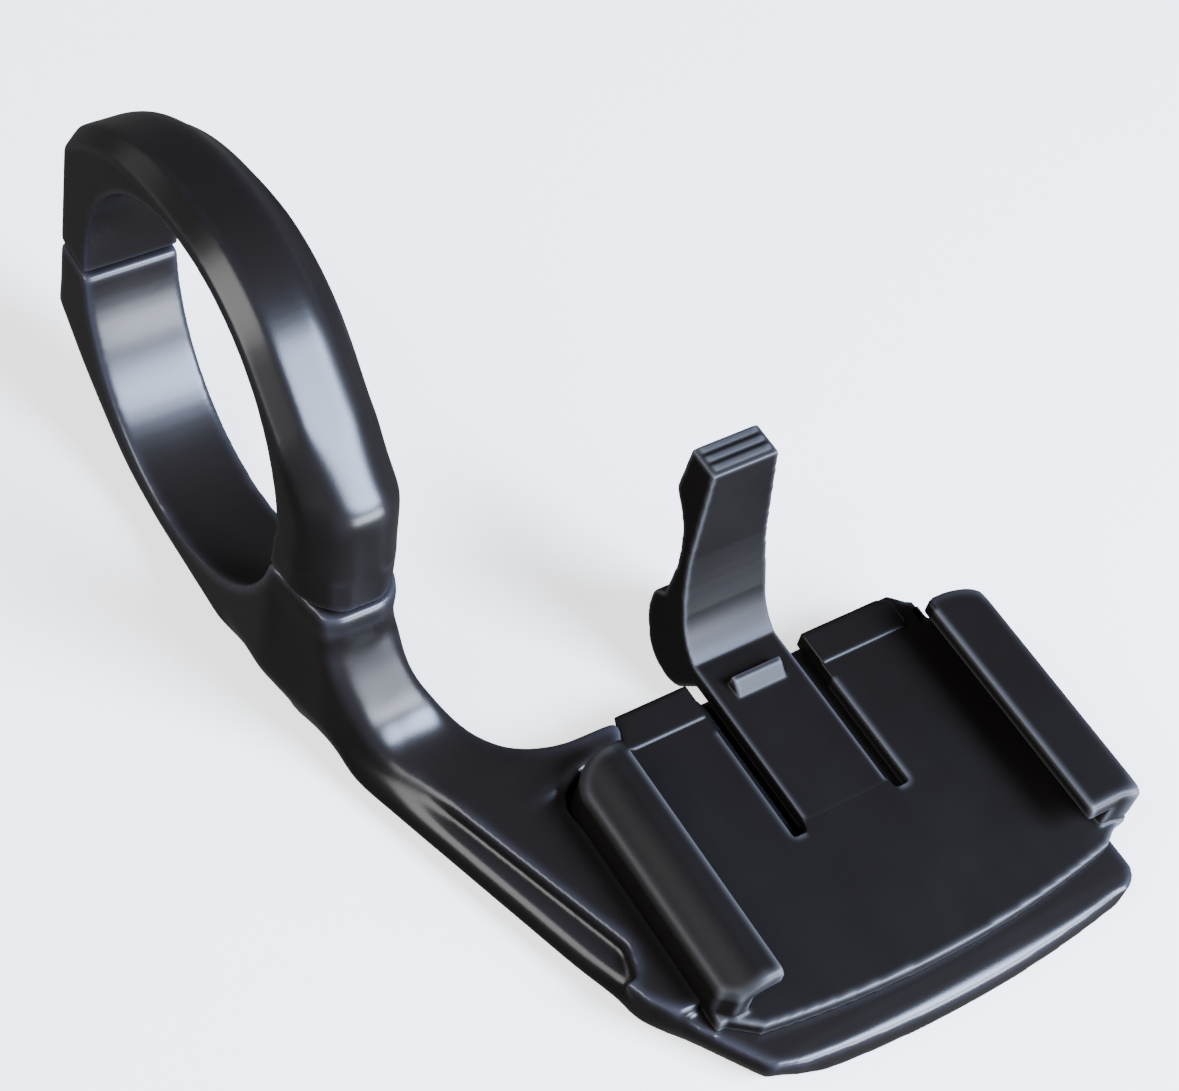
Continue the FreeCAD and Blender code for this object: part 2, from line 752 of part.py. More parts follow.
def build_cradle():
    """Floor with two slots, an undercut rail each side, and a low border at the back."""
    body = new_body("cradle")
    half, corner = named("cradle_half_width"), named("rail_corner")
    lip, wall = named("rail_lip_half_gap"), named("rail_wall")
    floor_top = named("floor_top")
    bulge = named("cradle_bulge")
    chord = half - 3.0
    bow = (chord * chord + bulge * bulge) / (bulge * 2)
    floor = new_sketch(body, "floor_plan", "XY_Plane", pocket_floor)
    draw_outline(floor, [
        (centre_x - chord, -named("cradle_front"), bow),
        (centre_x + chord, -named("cradle_front")),
        (centre_x + half, -named("rail_front") + 0.6),
        (centre_x + half, -named("rail_back")),
        (centre_x + lip, -named("cradle_back") - 1.2),
        (centre_x + lip - 1.2, -named("cradle_back")),
        (centre_x - lip + 3.2, -named("cradle_back")),
        (centre_x - lip + 2.0, -named("rail_back")),
        (centre_x - half, -named("rail_back")),
        (centre_x - half, -named("rail_front") + 0.6),
    ])
    feature(body, "Pad", "floor_plate", floor, named("floor_thickness"))
    doc.recompute()
    for side in (-1, 1):
        rail = new_sketch(body, f"rail_section_{'left' if side < 0 else 'right'}", "XZ_Plane",
                          named("rail_back"))
        inner, outer = centre_x + (half - wall) * side, centre_x + half * side
        tip = centre_x + lip * side
        points = [
            (outer, pocket_floor), (outer, named("rail_top")), (tip, named("rail_top")),
            (tip, named("rail_top") - named("lip_thickness")),
            (inner, named("rail_top") - named("lip_thickness")), (inner, pocket_floor),
        ]
        draw_outline(rail, points if side > 0 else list(reversed(points)))
        feature(body, "Pad", f"rail_{'left' if side < 0 else 'right'}", rail,
                named("rail_front") - named("rail_back"))
        doc.recompute()
    border = new_sketch(body, "border_plan", "XY_Plane", floor_top)
    gap = named("border_end_gap")
    draw_outline(border, [
        (centre_x - lip + 2.2, -named("cradle_back") - named("border_width")),
        (centre_x + lip - gap, -named("cradle_back") - named("border_width")),
        (centre_x + lip - gap, -named("cradle_back") - 0.6),
        (centre_x + lip - gap - 0.9, -named("cradle_back")),
        (centre_x - lip + 3.2, -named("cradle_back")),
    ])
    feature(body, "Pad", "border", border, named("border_height"))
    doc.recompute()
    slot = new_sketch(body, "tongue_window", "XY_Plane", pocket_floor - 1)
    reach = named("tongue_half_width") + named("slot_width")
    tongue, root_line = named("tongue_half_width"), -named("tongue_root")
    draw_outline(slot, [
        (centre_x - reach, 0), (centre_x - reach, root_line),
        (centre_x + reach, root_line), (centre_x + reach, 0),
    ])
    feature(body, "Pocket", "window_cut", slot, reverse=True)
    doc.recompute()
    socket = new_sketch(body, "root_socket", "YZ_Plane", centre_x)
    middle = floor_top - named("tongue_thickness") / 2
    draw_circle(socket, root_line, middle, named("tongue_thickness") / 2 + named("root_clearance"))
    feature(body, "Pocket", "socket_cut", socket, tongue * 2 + named("root_clearance") * 2,
            both_ways=True)
    doc.recompute()
    low = pocket_floor - named("boss_depth")
    bosses = new_sketch(body, "boss_plan", "XY_Plane", low)
    for across, along in cradle_screw_places():
        draw_circle(bosses, across, along, named("boss_radius"))
    feature(body, "Pad", "bosses", bosses, named("boss_depth") + named("cradle_screw_skin"))
    doc.recompute()
    pilot = new_sketch(body, "pilot_holes", "XY_Plane", low)
    for across, along in cradle_screw_places():
        draw_circle(pilot, across, along, named("cradle_screw_shank") + named("thread_clearance"))
    depth = named("cradle_screw_tip") + named("cradle_screw_skin") - low
    feature(body, "Pocket", "pilot_cut", pilot, depth, reverse=True)
    doc.recompute()

    for side in (-1, 1):
        round_off = new_sketch(body, f"rail_corner_{'left' if side < 0 else 'right'}", "XY_Plane",
                               pocket_floor - 1)
        outer = centre_x + half * side
        draw_outline(round_off, [
            (outer, -named("rail_back") - corner, corner * side),
            (outer - corner * side, -named("rail_back")),
            (outer - corner * side, -named("rail_back") + 8.0),
            (outer + 5.0 * side, -named("rail_back") + 8.0),
            (outer + 5.0 * side, -named("rail_back") - corner),
        ])
        feature(body, "Pocket", f"rail_corner_cut_{'left' if side < 0 else 'right'}", round_off,
                reverse=True)
        doc.recompute()

    for side in (-1, 1):
        nose = new_sketch(body, f"rail_nose_{'left' if side < 0 else 'right'}", "XY_Plane", floor_top)
        outer, cut = centre_x + half * side, named("rail_front_cut")
        front = -named("rail_front")
        draw_outline(nose, [
            (outer - cut * side, front), (outer, front + cut), (outer + 2.0 * side, front + cut),
            (outer + 2.0 * side, front - 2.0), (outer - cut * side, front - 2.0),
        ])
        feature(body, "Pocket", f"rail_nose_cut_{'left' if side < 0 else 'right'}", nose, reverse=True)
        doc.recompute()
    outside = SIZES["cradle_half_width"] - SIZES["rail_corner"] - 0.05
    dress(body, "Fillet", "rail_crests",
          lambda edge: edge.BoundBox.ZLength < 0.01
          and abs(edge.CenterOfMass.z - SIZES["rail_top"]) < 0.01
          and abs(edge.CenterOfMass.x - SIZES["cradle_centre"]) > outside,
          named("rail_crest_round"))
    return body


# Corners of the lever's side outline: reach forward of its back, height above the tongue's
# underside, and the radius of the arc that follows. First the knee and the back, then the front.
KNEE_AND_BACK = [
    (9.8, 0.0), (8.4, -1.9, 2.6), (5.8, -3.1, 3.4), (2.7, -0.6, 6.0), (2.0, 3.9), (3.1, 4.9),
    (3.2, 8.5, -14.0), (2.0, 12.9), (0.0, 15.3),
]
FRONT_FACE = [(4.3, 10.5, -30.0), (6.0, 5.1, -6.0)]


def build_lever():
    """Sprung tongue with its tooth, knee and upright thumb lever. The tongue bends at its root."""
    body = new_body("latch_lever")
    tongue = named("tongue_half_width")
    floor_top = named("floor_top")
    thick = named("tongue_thickness")
    root_line = -named("tongue_root")
    low = floor_top - thick
    top = named("lever_top")
    side = new_sketch(body, "lever_side", "YZ_Plane", centre_x)
    back = -named("lever_back")
    corners = [
        (root_line, floor_top, thick / 2),
        (root_line - thick / 2, floor_top - thick / 2, thick / 2),
        (root_line, low),
    ]
    corners += [(back - reach, low + rise, *bend) for reach, rise, *bend in KNEE_AND_BACK]
    corners += [(back, top), (back - named("lever_head"), top)]
    corners += [(back - reach, low + rise, *bend) for reach, rise, *bend in FRONT_FACE]
    corners.append((back - named("tongue_end"), floor_top))
    draw_outline(side, corners)
    feature(body, "Pad", "lever_profile", side, tongue * 2, both_ways=True)
    doc.recompute()
    tooth = new_sketch(body, "tooth_side", "YZ_Plane", centre_x)
    back, rise = -named("tooth_back"), named("tooth_height")
    draw_outline(tooth, [
        (back, floor_top - rise / 3), (back, floor_top + rise), (back - rise / 2, floor_top + rise),
        (back - named("tooth_length"), floor_top - rise / 3),
    ])
    feature(body, "Pad", "tooth", tooth, named("tooth_half_width") * 2, both_ways=True)
    doc.recompute()
    taper = new_sketch(body, "lever_taper", "XZ_Plane")
    narrow = named("lever_top_half_width")
    for side in (-1, 1):
        draw_outline(taper, [
            (centre_x + tongue * side, named("lever_taper_foot")), (centre_x + narrow * side, top),
            (centre_x + narrow * side, top + 3.0), (centre_x + (tongue + 3.0) * side, top + 3.0),
            (centre_x + (tongue + 3.0) * side, named("lever_taper_foot")),
        ])
    feature(body, "Pocket", "lever_sides", taper, FAR * 2, both_ways=True)
    doc.recompute()
    ribs = new_sketch(body, "thumb_rib_ends", "YZ_Plane", centre_x)
    radius, pitch = named("rib_radius"), named("rib_pitch")
    for step in range(3):
        draw_circle(ribs, -named("lever_back") - radius - pitch * step, top - radius / 2, radius)
    feature(body, "Pad", "thumb_ribs", ribs, (narrow - radius) * 2, both_ways=True)
    doc.recompute()
    return body


def build_cradle_screw(number, across, along):
    """Flat headed screw from below through the base plate into a boss of the cradle."""
    body = new_body(f"cradle_screw_{number}")
    seat = cradle_screw_seat()
    shank = new_sketch(body, f"cradle_shank_{number}", "XY_Plane", seat)
    draw_circle(shank, across, along, named("cradle_screw_shank"))
    feature(body, "Pad", f"cradle_screw_body_{number}", shank, named("cradle_screw_tip") - seat)
    doc.recompute()
    head = new_sketch(body, f"cradle_head_{number}", "XY_Plane", seat)
    draw_circle(head, across, along, named("cradle_screw_head"))
    feature(body, "Pad", f"cradle_screw_cap_{number}", head, named("cradle_screw_head_height"),
            reverse=True)
    doc.recompute()
    return body


def check_and_write(bodies):
    """Stops on anything that failed to build, and writes each piece to its own file."""
    doc.recompute()
    for item in doc.Objects:
        if {"Invalid", "Error"} & set(item.State):
            raise RuntimeError(f"{item.Label} failed: {item.State}")
    os.makedirs("parts", exist_ok=True)
    for body in bodies:
        shape = body.Shape
        if shape.isNull() or not shape.isValid():
            raise RuntimeError(f"{body.Label} has no valid shape")
        shape.exportStep(os.path.join("parts", f"{body.Label}.step"))
        box = shape.BoundBox
        print(f"{body.Label}: {len(shape.Solids)} solid, {shape.Volume:.1f} mm3, "
              f"x {box.XMin:.1f} {box.XMax:.1f}, y {box.YMin:.1f} {box.YMax:.1f}, "
              f"z {box.ZMin:.1f} {box.ZMax:.1f}")


front_line, rear_line = -named("front_screw_reach"), named("rear_screw_back")
pieces = [
    build_arm(),
    build_cap(),
    build_clamp_screw("front", front_line),
    build_clamp_screw("rear", rear_line),
    build_insert("front", front_line),
    build_insert("rear", rear_line),
    build_cradle(),
    build_lever(),
]
for count, (screw_x, screw_y) in enumerate(cradle_screw_places(), start=1):
    pieces.append(build_cradle_screw(count, screw_x, screw_y))
check_and_write(pieces)
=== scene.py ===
"""Looks of an out-front bike computer mount: ring clamp, forward arm, slide-in cradle and latch.

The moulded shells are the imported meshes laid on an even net, shaped a little, softened and finished
in satin or matt plastic. The screws and inserts are spun here in full detail. The sizes of pieces
are in millimetres, and those of the camera, the lights and the floor in metres.
"""
from __future__ import annotations

import logging
import math
from collections.abc import Callable
from dataclasses import dataclass, field
from enum import Enum

import bmesh
import bpy
import numpy as np
from mathutils import Matrix, Vector

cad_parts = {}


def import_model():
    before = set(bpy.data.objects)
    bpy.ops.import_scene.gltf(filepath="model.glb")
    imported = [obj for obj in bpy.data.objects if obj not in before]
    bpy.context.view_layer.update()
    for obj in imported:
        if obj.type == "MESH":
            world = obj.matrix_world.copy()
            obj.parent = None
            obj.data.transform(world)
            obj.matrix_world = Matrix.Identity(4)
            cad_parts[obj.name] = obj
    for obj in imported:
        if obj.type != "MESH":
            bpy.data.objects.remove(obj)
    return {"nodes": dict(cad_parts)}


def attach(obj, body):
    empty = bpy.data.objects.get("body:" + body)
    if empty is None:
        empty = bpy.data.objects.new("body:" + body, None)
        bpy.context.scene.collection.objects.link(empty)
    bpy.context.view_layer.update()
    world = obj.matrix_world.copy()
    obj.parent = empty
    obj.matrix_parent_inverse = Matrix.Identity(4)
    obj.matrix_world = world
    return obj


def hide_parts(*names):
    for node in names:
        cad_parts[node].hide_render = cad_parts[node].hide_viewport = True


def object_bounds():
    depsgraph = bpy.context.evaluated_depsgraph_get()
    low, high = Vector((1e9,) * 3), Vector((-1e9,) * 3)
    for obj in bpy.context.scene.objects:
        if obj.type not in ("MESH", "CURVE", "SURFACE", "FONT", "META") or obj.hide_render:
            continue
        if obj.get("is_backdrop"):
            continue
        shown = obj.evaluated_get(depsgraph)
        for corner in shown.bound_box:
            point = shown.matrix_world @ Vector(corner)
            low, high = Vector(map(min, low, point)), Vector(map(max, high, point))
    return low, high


log = logging.getLogger("mount")

MM = 0.001

UP = (0.0, 0.0, 1.0)
RIGHT = (1.0, 0.0, 0.0)
BACK = (0.0, 1.0, 0.0)

# Points nearer than this are one point, in metres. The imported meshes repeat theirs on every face.
MERGE_DISTANCE = 0.000002
# Edges that turn by more than this stay sharp on turned pieces.
SHARP_ANGLE = math.radians(38.0)
# Share of the way to its neighbours' mean that a point goes in one round of softening.
SOFTENING = 0.5
# Radii are never taken as less than this, in millimetres, so that nothing is divided by 0.
LEAST_RADIUS = 1e-6

# The attribute that carries the painted highlight on a shell's edges, how far an edge bulges
# where it starts and over which span it grows, in widths of a quad, its upper limit and its rounds
# of averaging.
EDGE_HIGHLIGHT_LAYER = "painted_edge_highlight"
HIGHLIGHT_START = 0.015
HIGHLIGHT_SPAN = 0.085
HIGHLIGHT_LIMIT = 1.3
HIGHLIGHT_ROUNDS = 5

# The Mix node's sockets for colours have the same names as its other ones, so they go by number.
FIRST_COLOUR = 6
SECOND_COLOUR = 7
MIXED_COLOUR = 2


class Body(Enum):
    """The bodies that a piece can ride on."""

    MOUNT = "mount"
    CAP = "cap"
    FRONT_SCREW = "front_screw"
    REAR_SCREW = "rear_screw"
    LATCH = "latch"


class Slot(Enum):
    """The record's material slots."""

    BODY = "body_plastic"
    CRADLE = "cradle_plastic"
    SCREW = "screw_steel"
    INSERT = "insert_brass"


class Graph:
    """A thin helper that adds nodes to a tree and joins them by socket name."""

    def __init__(self, tree: bpy.types.NodeTree) -> None:
        """Starts on a tree that is already empty.

        Args:
            tree: The node tree of a material or of a group.
        """
        self.tree = tree

    def add(self, kind: str, settings: dict | None = None, **inputs: object) -> bpy.types.Node:
        """Adds one node.

        Args:
            kind: The node's type name, without the ShaderNode prefix.
            settings: Properties of the node, by name.
            inputs: Values or output sockets for its inputs; underscores stand for spaces.

        Returns:
            The new node.
        """
        node = self.tree.nodes.new(f"ShaderNode{kind}")
        for name, value in (settings or {}).items():
            setattr(node, name, value)
        for name, value in inputs.items():
            self.feed(node.inputs[name.replace("_", " ")], value)
        return node

    def feed(self, socket: bpy.types.NodeSocket, value: object) -> None:
        """Links an output to an input, or sets the input's own value."""
        if isinstance(value, bpy.types.NodeSocket):
            self.tree.links.new(value, socket)
        else:
            socket.default_value = value

    def maths(self, operation: str, first: object, second: object) -> bpy.types.NodeSocket:
        """Adds a Math node.

        Args:
            operation: Its operation.
            first: First value or socket.
            second: Second value or socket.

        Returns:
            The node's output.
        """
        node = self.add("Math", {"operation": operation})
        self.feed(node.inputs[0], first)
        self.feed(node.inputs[1], second)
        return node.outputs[0]

    def remap(self, value: object, low: float, high: float, to_low: float,
              to_high: float) -> bpy.types.NodeSocket:
        """Maps one range to another, clamped.

        Args:
            value: The socket to map.
            low: Start of the range that comes in.
            high: End of the range that comes in.
            to_low: Start of the range that goes out.
            to_high: End of the range that goes out.

        Returns:
            The mapped value.
        """
        node = self.add("MapRange", {"clamp": True}, Value=value, From_Min=low, From_Max=high,
                        To_Min=to_low, To_Max=to_high)
        return node.outputs["Result"]

    def noise(self, vector: object, scale: object, detail: float,
              roughness: float) -> bpy.types.NodeSocket:
        """Adds a noise texture.

        Args:
            vector: Where it is read.
            scale: Its scale, a number or a socket.
            detail: Number of its finer layers.
            roughness: How much the finer layers count.

        Returns:
            Its grey value.
        """
        node = self.add("TexNoise", None, Vector=vector, Scale=scale, Detail=detail,
                        Roughness=roughness)
        return node.outputs["Fac"]

    def blend(self, factor: object, first: object, second: object) -> bpy.types.NodeSocket:
        """Mixes two colours.

        Args:
            factor: Share of the second colour.
            first: First colour, linear RGB or a socket.
            second: Second colour, linear RGB or a socket.

        Returns:
            The mixed colour.
        """
        node = self.add("Mix", {"data_type": "RGBA"}, Factor=factor)
        for number, colour in ((FIRST_COLOUR, first), (SECOND_COLOUR, second)):
            linked = isinstance(colour, bpy.types.NodeSocket)
            self.feed(node.inputs[number], colour if linked else (*colour, 1.0))
        return node.outputs[MIXED_COLOUR]

    def bump(self, height: bpy.types.NodeSocket, depth: float) -> bpy.types.NodeSocket:
        """Adds a bump of a depth in metres, and returns the normal that it gives."""
        return self.add("Bump", None, Strength=1.0, Distance=depth, Height=height).outputs[0]


def start_material(name: str) -> tuple[bpy.types.Material, Graph, bpy.types.Node]:
    """Makes a material that has its shader and nothing else.

    Args:
        name: The material's name.

    Returns:
        The material, its graph and its shader.
    """
    material = bpy.data.materials.new(name)
    material.use_nodes = True
    return material, Graph(material.node_tree), material.node_tree.nodes["Principled BSDF"]


class EffectGroup:
    """Base of the shader node groups: a tree with named sockets that is built once."""

    name = "effect"

    def __init__(self) -> None:
        """Makes the tree, its sockets and its inner nodes."""
        self.tree = bpy.data.node_groups.new(self.name, "ShaderNodeTree")
        self.graph = Graph(self.tree)
        self.build()

    def build(self) -> None:
        """Fills the tree; each effect has its own."""
        raise NotImplementedError

    def takes(self, name: str, value: float) -> None:
        """Adds a number to the group's inputs."""
        socket = self.tree.interface.new_socket(name, in_out="INPUT", socket_type="NodeSocketFloat")
        socket.default_value = value

    def gives(self, name: str) -> None:
        """Adds a number to the group's outputs."""
        self.tree.interface.new_socket(name, in_out="OUTPUT", socket_type="NodeSocketFloat")

    def open_ends(self) -> tuple[bpy.types.Node, bpy.types.Node]:
        """Adds the nodes of the group's inputs and outputs, once these are all named."""
        return self.tree.nodes.new("NodeGroupInput"), self.tree.nodes.new("NodeGroupOutput")

    def place(self, graph: Graph, **values: float) -> bpy.types.Node:
        """Puts the group into a material.

        Args:
            graph: The material's graph.
            values: The group's inputs, with underscores for spaces.

        Returns:
            The group's node.
        """
        return graph.add("Group", {"node_tree": self.tree}, **values)


class MouldedGrain(EffectGroup):
    """The fine texture that a spark-eroded mould leaves on plastic."""

    name = "moulded_grain"

    def build(self) -> None:
        """Two sizes of noise: the grain itself, and a slow change in how dense it is."""
        self.takes("Grain Scale", 5000.0)
        self.takes("Patch Scale", 90.0)
        self.gives("Height")
        self.gives("Mask")
        graph = self.graph
        where = graph.add("TexCoord").outputs["Object"]
        given, result = self.open_ends()
        fine = graph.noise(where, given.outputs["Grain Scale"], 2.5, 0.62)
        broad = graph.noise(where, given.outputs["Patch Scale"], 3.0, 0.55)
        density = graph.remap(broad, 0.3, 0.7, 0.72, 1.0)
        graph.feed(result.inputs["Height"], graph.maths("MULTIPLY", fine, density))
        graph.feed(result.inputs["Mask"], graph.remap(broad, 0.32, 0.68, 0.0, 1.0))


class FlowMarks(EffectGroup):
    """Very faint streaks along the way the plastic ran in the mould."""

    name = "flow_marks"

    def build(self) -> None:
        """Stretched noise, strongest near the ends of its range."""
        self.takes("Streak Scale", 60.0)
        self.takes("Stretch", 0.12)
        self.gives("Mask")
        graph = self.graph
        where = graph.add("TexCoord").outputs["Object"]
        given, result = self.open_ends()
        stretch = graph.add("CombineXYZ", None, X=1.0, Y=given.outputs["Stretch"], Z=1.0)
        squeezed = graph.add("VectorMath", {"operation": "MULTIPLY"})
        graph.feed(squeezed.inputs[0], where)
        graph.feed(squeezed.inputs[1], stretch.outputs[0])
        streaks = graph.noise(squeezed.outputs[0], given.outputs["Streak Scale"], 4.0, 0.6)
        graph.feed(result.inputs["Mask"], graph.remap(streaks, 0.35, 0.7, 0.0, 1.0))


@dataclass
class Effects:
    """The groups that more than one material uses."""

    grain: MouldedGrain = field(default_factory=MouldedGrain)
    flow: FlowMarks = field(default_factory=FlowMarks)


@dataclass(frozen=True)
class MouldedPlastic:
    """Near-black moulded plastic with a fine grain, and a painted highlight on its rounded edges.

    Attributes:
        name: The material's name.
        deep: Base colour in the hollows of its slow variation, linear RGB.
        pale: Base colour where it is a touch lighter.
        edge: Base colour of the painted highlight on outward-rounded edges.
        smooth: Roughness where the mould was smoothest.
        rough: Roughness where it was roughest.
        grain_per_metre: Scale of the grain's noise.
        grain_depth: Depth of the grain, in metres.
        specular: Specular level of the plastic.
    """

    name: str
    deep: tuple[float, float, float]
    pale: tuple[float, float, float]
    edge: tuple[float, float, float]
    smooth: float
    rough: float
    grain_per_metre: float
    grain_depth: float
    specular: float

    def build(self, effects: Effects) -> bpy.types.Material:
        """Makes the material.

        Args:
            effects: The shared node groups.

        Returns:
            The finished material.
        """
        material, graph, shader = start_material(self.name)
        grain = effects.grain.place(graph, Grain_Scale=self.grain_per_metre, Patch_Scale=110.0)
        flow = effects.flow.place(graph, Streak_Scale=70.0, Stretch=0.15)
        patches, streaks = grain.outputs["Mask"], flow.outputs["Mask"]
        colour = graph.blend(graph.maths("MULTIPLY", patches, streaks), self.deep, self.pale)
        # Painted highlight: outward-rounded edges take the lighter edge colour, in place of the light
        # that they catch.
        edge = graph.add("Attribute", {"attribute_name": EDGE_HIGHLIGHT_LAYER}).outputs["Fac"]
        highlight_share = graph.maths("MULTIPLY", edge, graph.remap(streaks, 0.0, 1.0, 0.75, 1.0))
        graph.feed(shader.inputs["Base Color"], graph.blend(highlight_share, colour, self.edge))
        spread = graph.maths("ADD", graph.maths("MULTIPLY", streaks, 0.4),
                             graph.maths("MULTIPLY", patches, 0.6))
        graph.feed(shader.inputs["Roughness"],
                   graph.remap(spread, 0.0, 1.0, self.smooth, self.rough))
        graph.feed(shader.inputs["Specular IOR Level"], self.specular)
        graph.feed(shader.inputs["Normal"], graph.bump(grain.outputs["Height"], self.grain_depth))
        return material


@dataclass(frozen=True)
class TurnedMetal:
    """Metal with fine tool marks around the Z axis.

    Attributes:
        name: The material's name.
        colour: Base colour, linear RGB.
        worn: Colour where the finish is thin.
        roughness: Roughness of the untouched finish.
        worn_roughness: Roughness where it is thin.
        mark_depth: Depth of the tool marks, in metres.
    """

    name: str
    colour: tuple[float, float, float]
    worn: tuple[float, float, float]
    roughness: float
    worn_roughness: float
    mark_depth: float

    def build(self, effects: Effects) -> bpy.types.Material:
        """Makes the material.

        Args:
            effects: The shared node groups.

        Returns:
            The finished material.
        """
        material, graph, shader = start_material(self.name)
        grain = effects.grain.place(graph, Grain_Scale=9000.0, Patch_Scale=600.0)
        flow = effects.flow.place(graph, Streak_Scale=900.0, Stretch=1.0)
        marks = flow.outputs["Mask"]
        graph.feed(shader.inputs["Base Color"], graph.blend(marks, self.colour, self.worn))
        graph.feed(shader.inputs["Metallic"], 1.0)
        graph.feed(shader.inputs["Roughness"],
                   graph.remap(marks, 0.0, 1.0, self.roughness, self.worn_roughness))
        graph.feed(shader.inputs["Normal"], graph.bump(grain.outputs["Height"], self.mark_depth))
        return material


# The plastics' edge colours are painted highlights, far lighter than their base colours.
SLOT_FINISHES = {
    Slot.BODY: MouldedPlastic(
        name="satin_body", deep=(0.0022, 0.0018, 0.0017), pale=(0.0029, 0.0024, 0.0022),
        edge=(0.012, 0.012, 0.015), smooth=0.26, rough=0.30, grain_per_metre=4200.0,
        grain_depth=0.000004, specular=0.105),
    Slot.CRADLE: MouldedPlastic(
        name="matte_cradle", deep=(0.0014, 0.0011, 0.0010), pale=(0.0018, 0.0015, 0.0013),
        edge=(0.026, 0.026, 0.028), smooth=0.38, rough=0.46, grain_per_metre=5200.0,
        grain_depth=0.000008, specular=0.06),
    Slot.SCREW: TurnedMetal(
        name="black_steel", colour=(0.05, 0.05, 0.055), worn=(0.12, 0.12, 0.125),
        roughness=0.34, worn_roughness=0.22, mark_depth=0.000004),
    Slot.INSERT: TurnedMetal(
        name="insert_brass", colour=(0.62, 0.42, 0.16), worn=(0.75, 0.56, 0.27),
        roughness=0.3, worn_roughness=0.2, mark_depth=0.000005),
}


def build_finishes() -> dict[Slot, bpy.types.Material]:
    """Builds the node groups once, and a material for every slot."""
    effects = Effects()
    return {slot: finish.build(effects) for slot, finish in SLOT_FINISHES.items()}


class Axis(Enum):
    """What a ramp is measured along, in millimetres or degrees."""

    X = "x"
    Y = "y"
    Z = "z"
    RADIUS = "distance from the bar's axis"
    ANGLE = "angle about the bar's axis"
    BESIDE = "distance from the cradle's middle plane"
    BEAD = "distance inwards from the bead's outer line"


class Way(Enum):
    """Directions that a push can take, apart from a fixed one."""

    RADIAL = "away from the bar's axis"


# The cradle's middle plane across the bar, a point on the bead's outer line, and the line's normal
# that points in over the arm.
CRADLE_MIDDLE = 31.1
BEAD_START = (-2.3, -27.2)
BEAD_INWARD = (0.952, 0.305)


def measure(points: np.ndarray, axis: Axis) -> np.ndarray:
    """Reads one measure of every point.

    Args:
        points: Points in millimetres, one row each.
        axis: What to measure.

    Returns:
        One number for each point.
    """
    if axis is Axis.RADIUS:
        return np.hypot(points[:, 1], points[:, 2])
    if axis is Axis.ANGLE:
        return np.degrees(np.arctan2(points[:, 2], points[:, 1]))
    if axis is Axis.BESIDE:
        return np.abs(points[:, 0] - CRADLE_MIDDLE)
    if axis is Axis.BEAD:
        return (points[:, :2] - np.asarray(BEAD_START)) @ np.asarray(BEAD_INWARD)
    return points[:, "xyz".index(axis.value)]


@dataclass(frozen=True)
class Ramp:
    """A soft step from 0 at `low` to 1 at `high`; it falls when `low` is the larger.

    Attributes:
        axis: What it is measured along.
        low: Where it is 0.
        high: Where it is 1.
    """

    axis: Axis
    low: float
    high: float

    def weigh(self, points: np.ndarray) -> np.ndarray:
        """Gives every point its weight from 0 to 1."""
        run = np.clip((measure(points, self.axis) - self.low) / (self.high - self.low), 0.0, 1.0)
        return run * run * (3.0 - 2.0 * run)


def weigh_region(ramps: tuple[Ramp, ...], points: np.ndarray) -> np.ndarray:
    """Weighs the points of a region with soft borders.

    Args:
        ramps: The borders; their weights are multiplied.
        points: Points in millimetres, one row each.

    Returns:
        A weight from 0 to 1 for each point.
    """
    return np.prod([ramp.weigh(points) for ramp in ramps], axis=0)


@dataclass(frozen=True)
class Push:
    """Moves the points of one region a little, fading out at its borders.

    Attributes:
        name: What the push shapes.
        way: A direction, or one of the ways.
        amount: How far, in millimetres.
        ramps: The soft borders of the region.
    """

    name: str
    way: tuple[float, float, float] | Way
    amount: float
    ramps: tuple[Ramp, ...]

    def apply(self, points: np.ndarray) -> np.ndarray:
        """Returns the points after the push."""
        if self.way is Way.RADIAL:
            reach = np.maximum(measure(points, Axis.RADIUS), LEAST_RADIUS)[:, None]
            way = points * (0.0, 1.0, 1.0) / reach
        else:
            way = np.asarray(self.way)
        return points + self.amount * way * weigh_region(self.ramps, points)[:, None]


@dataclass(frozen=True)
class Soften:
    """Rounds one region more than the rest, fading out at its borders.

    Attributes:
        name: What is rounded.
        rounds: How many times.
        ramps: The soft borders of the region.
    """

    name: str
    rounds: int
    ramps: tuple[Ramp, ...]

    def apply(self, points: np.ndarray, links: np.ndarray) -> np.ndarray:
        """Returns the points after the rounding."""
        weight = SOFTENING * weigh_region(self.ramps, points)[:, None]
        for _ in range(self.rounds):
            points = points + weight * (neighbour_mean(points, links) - points)
        return points


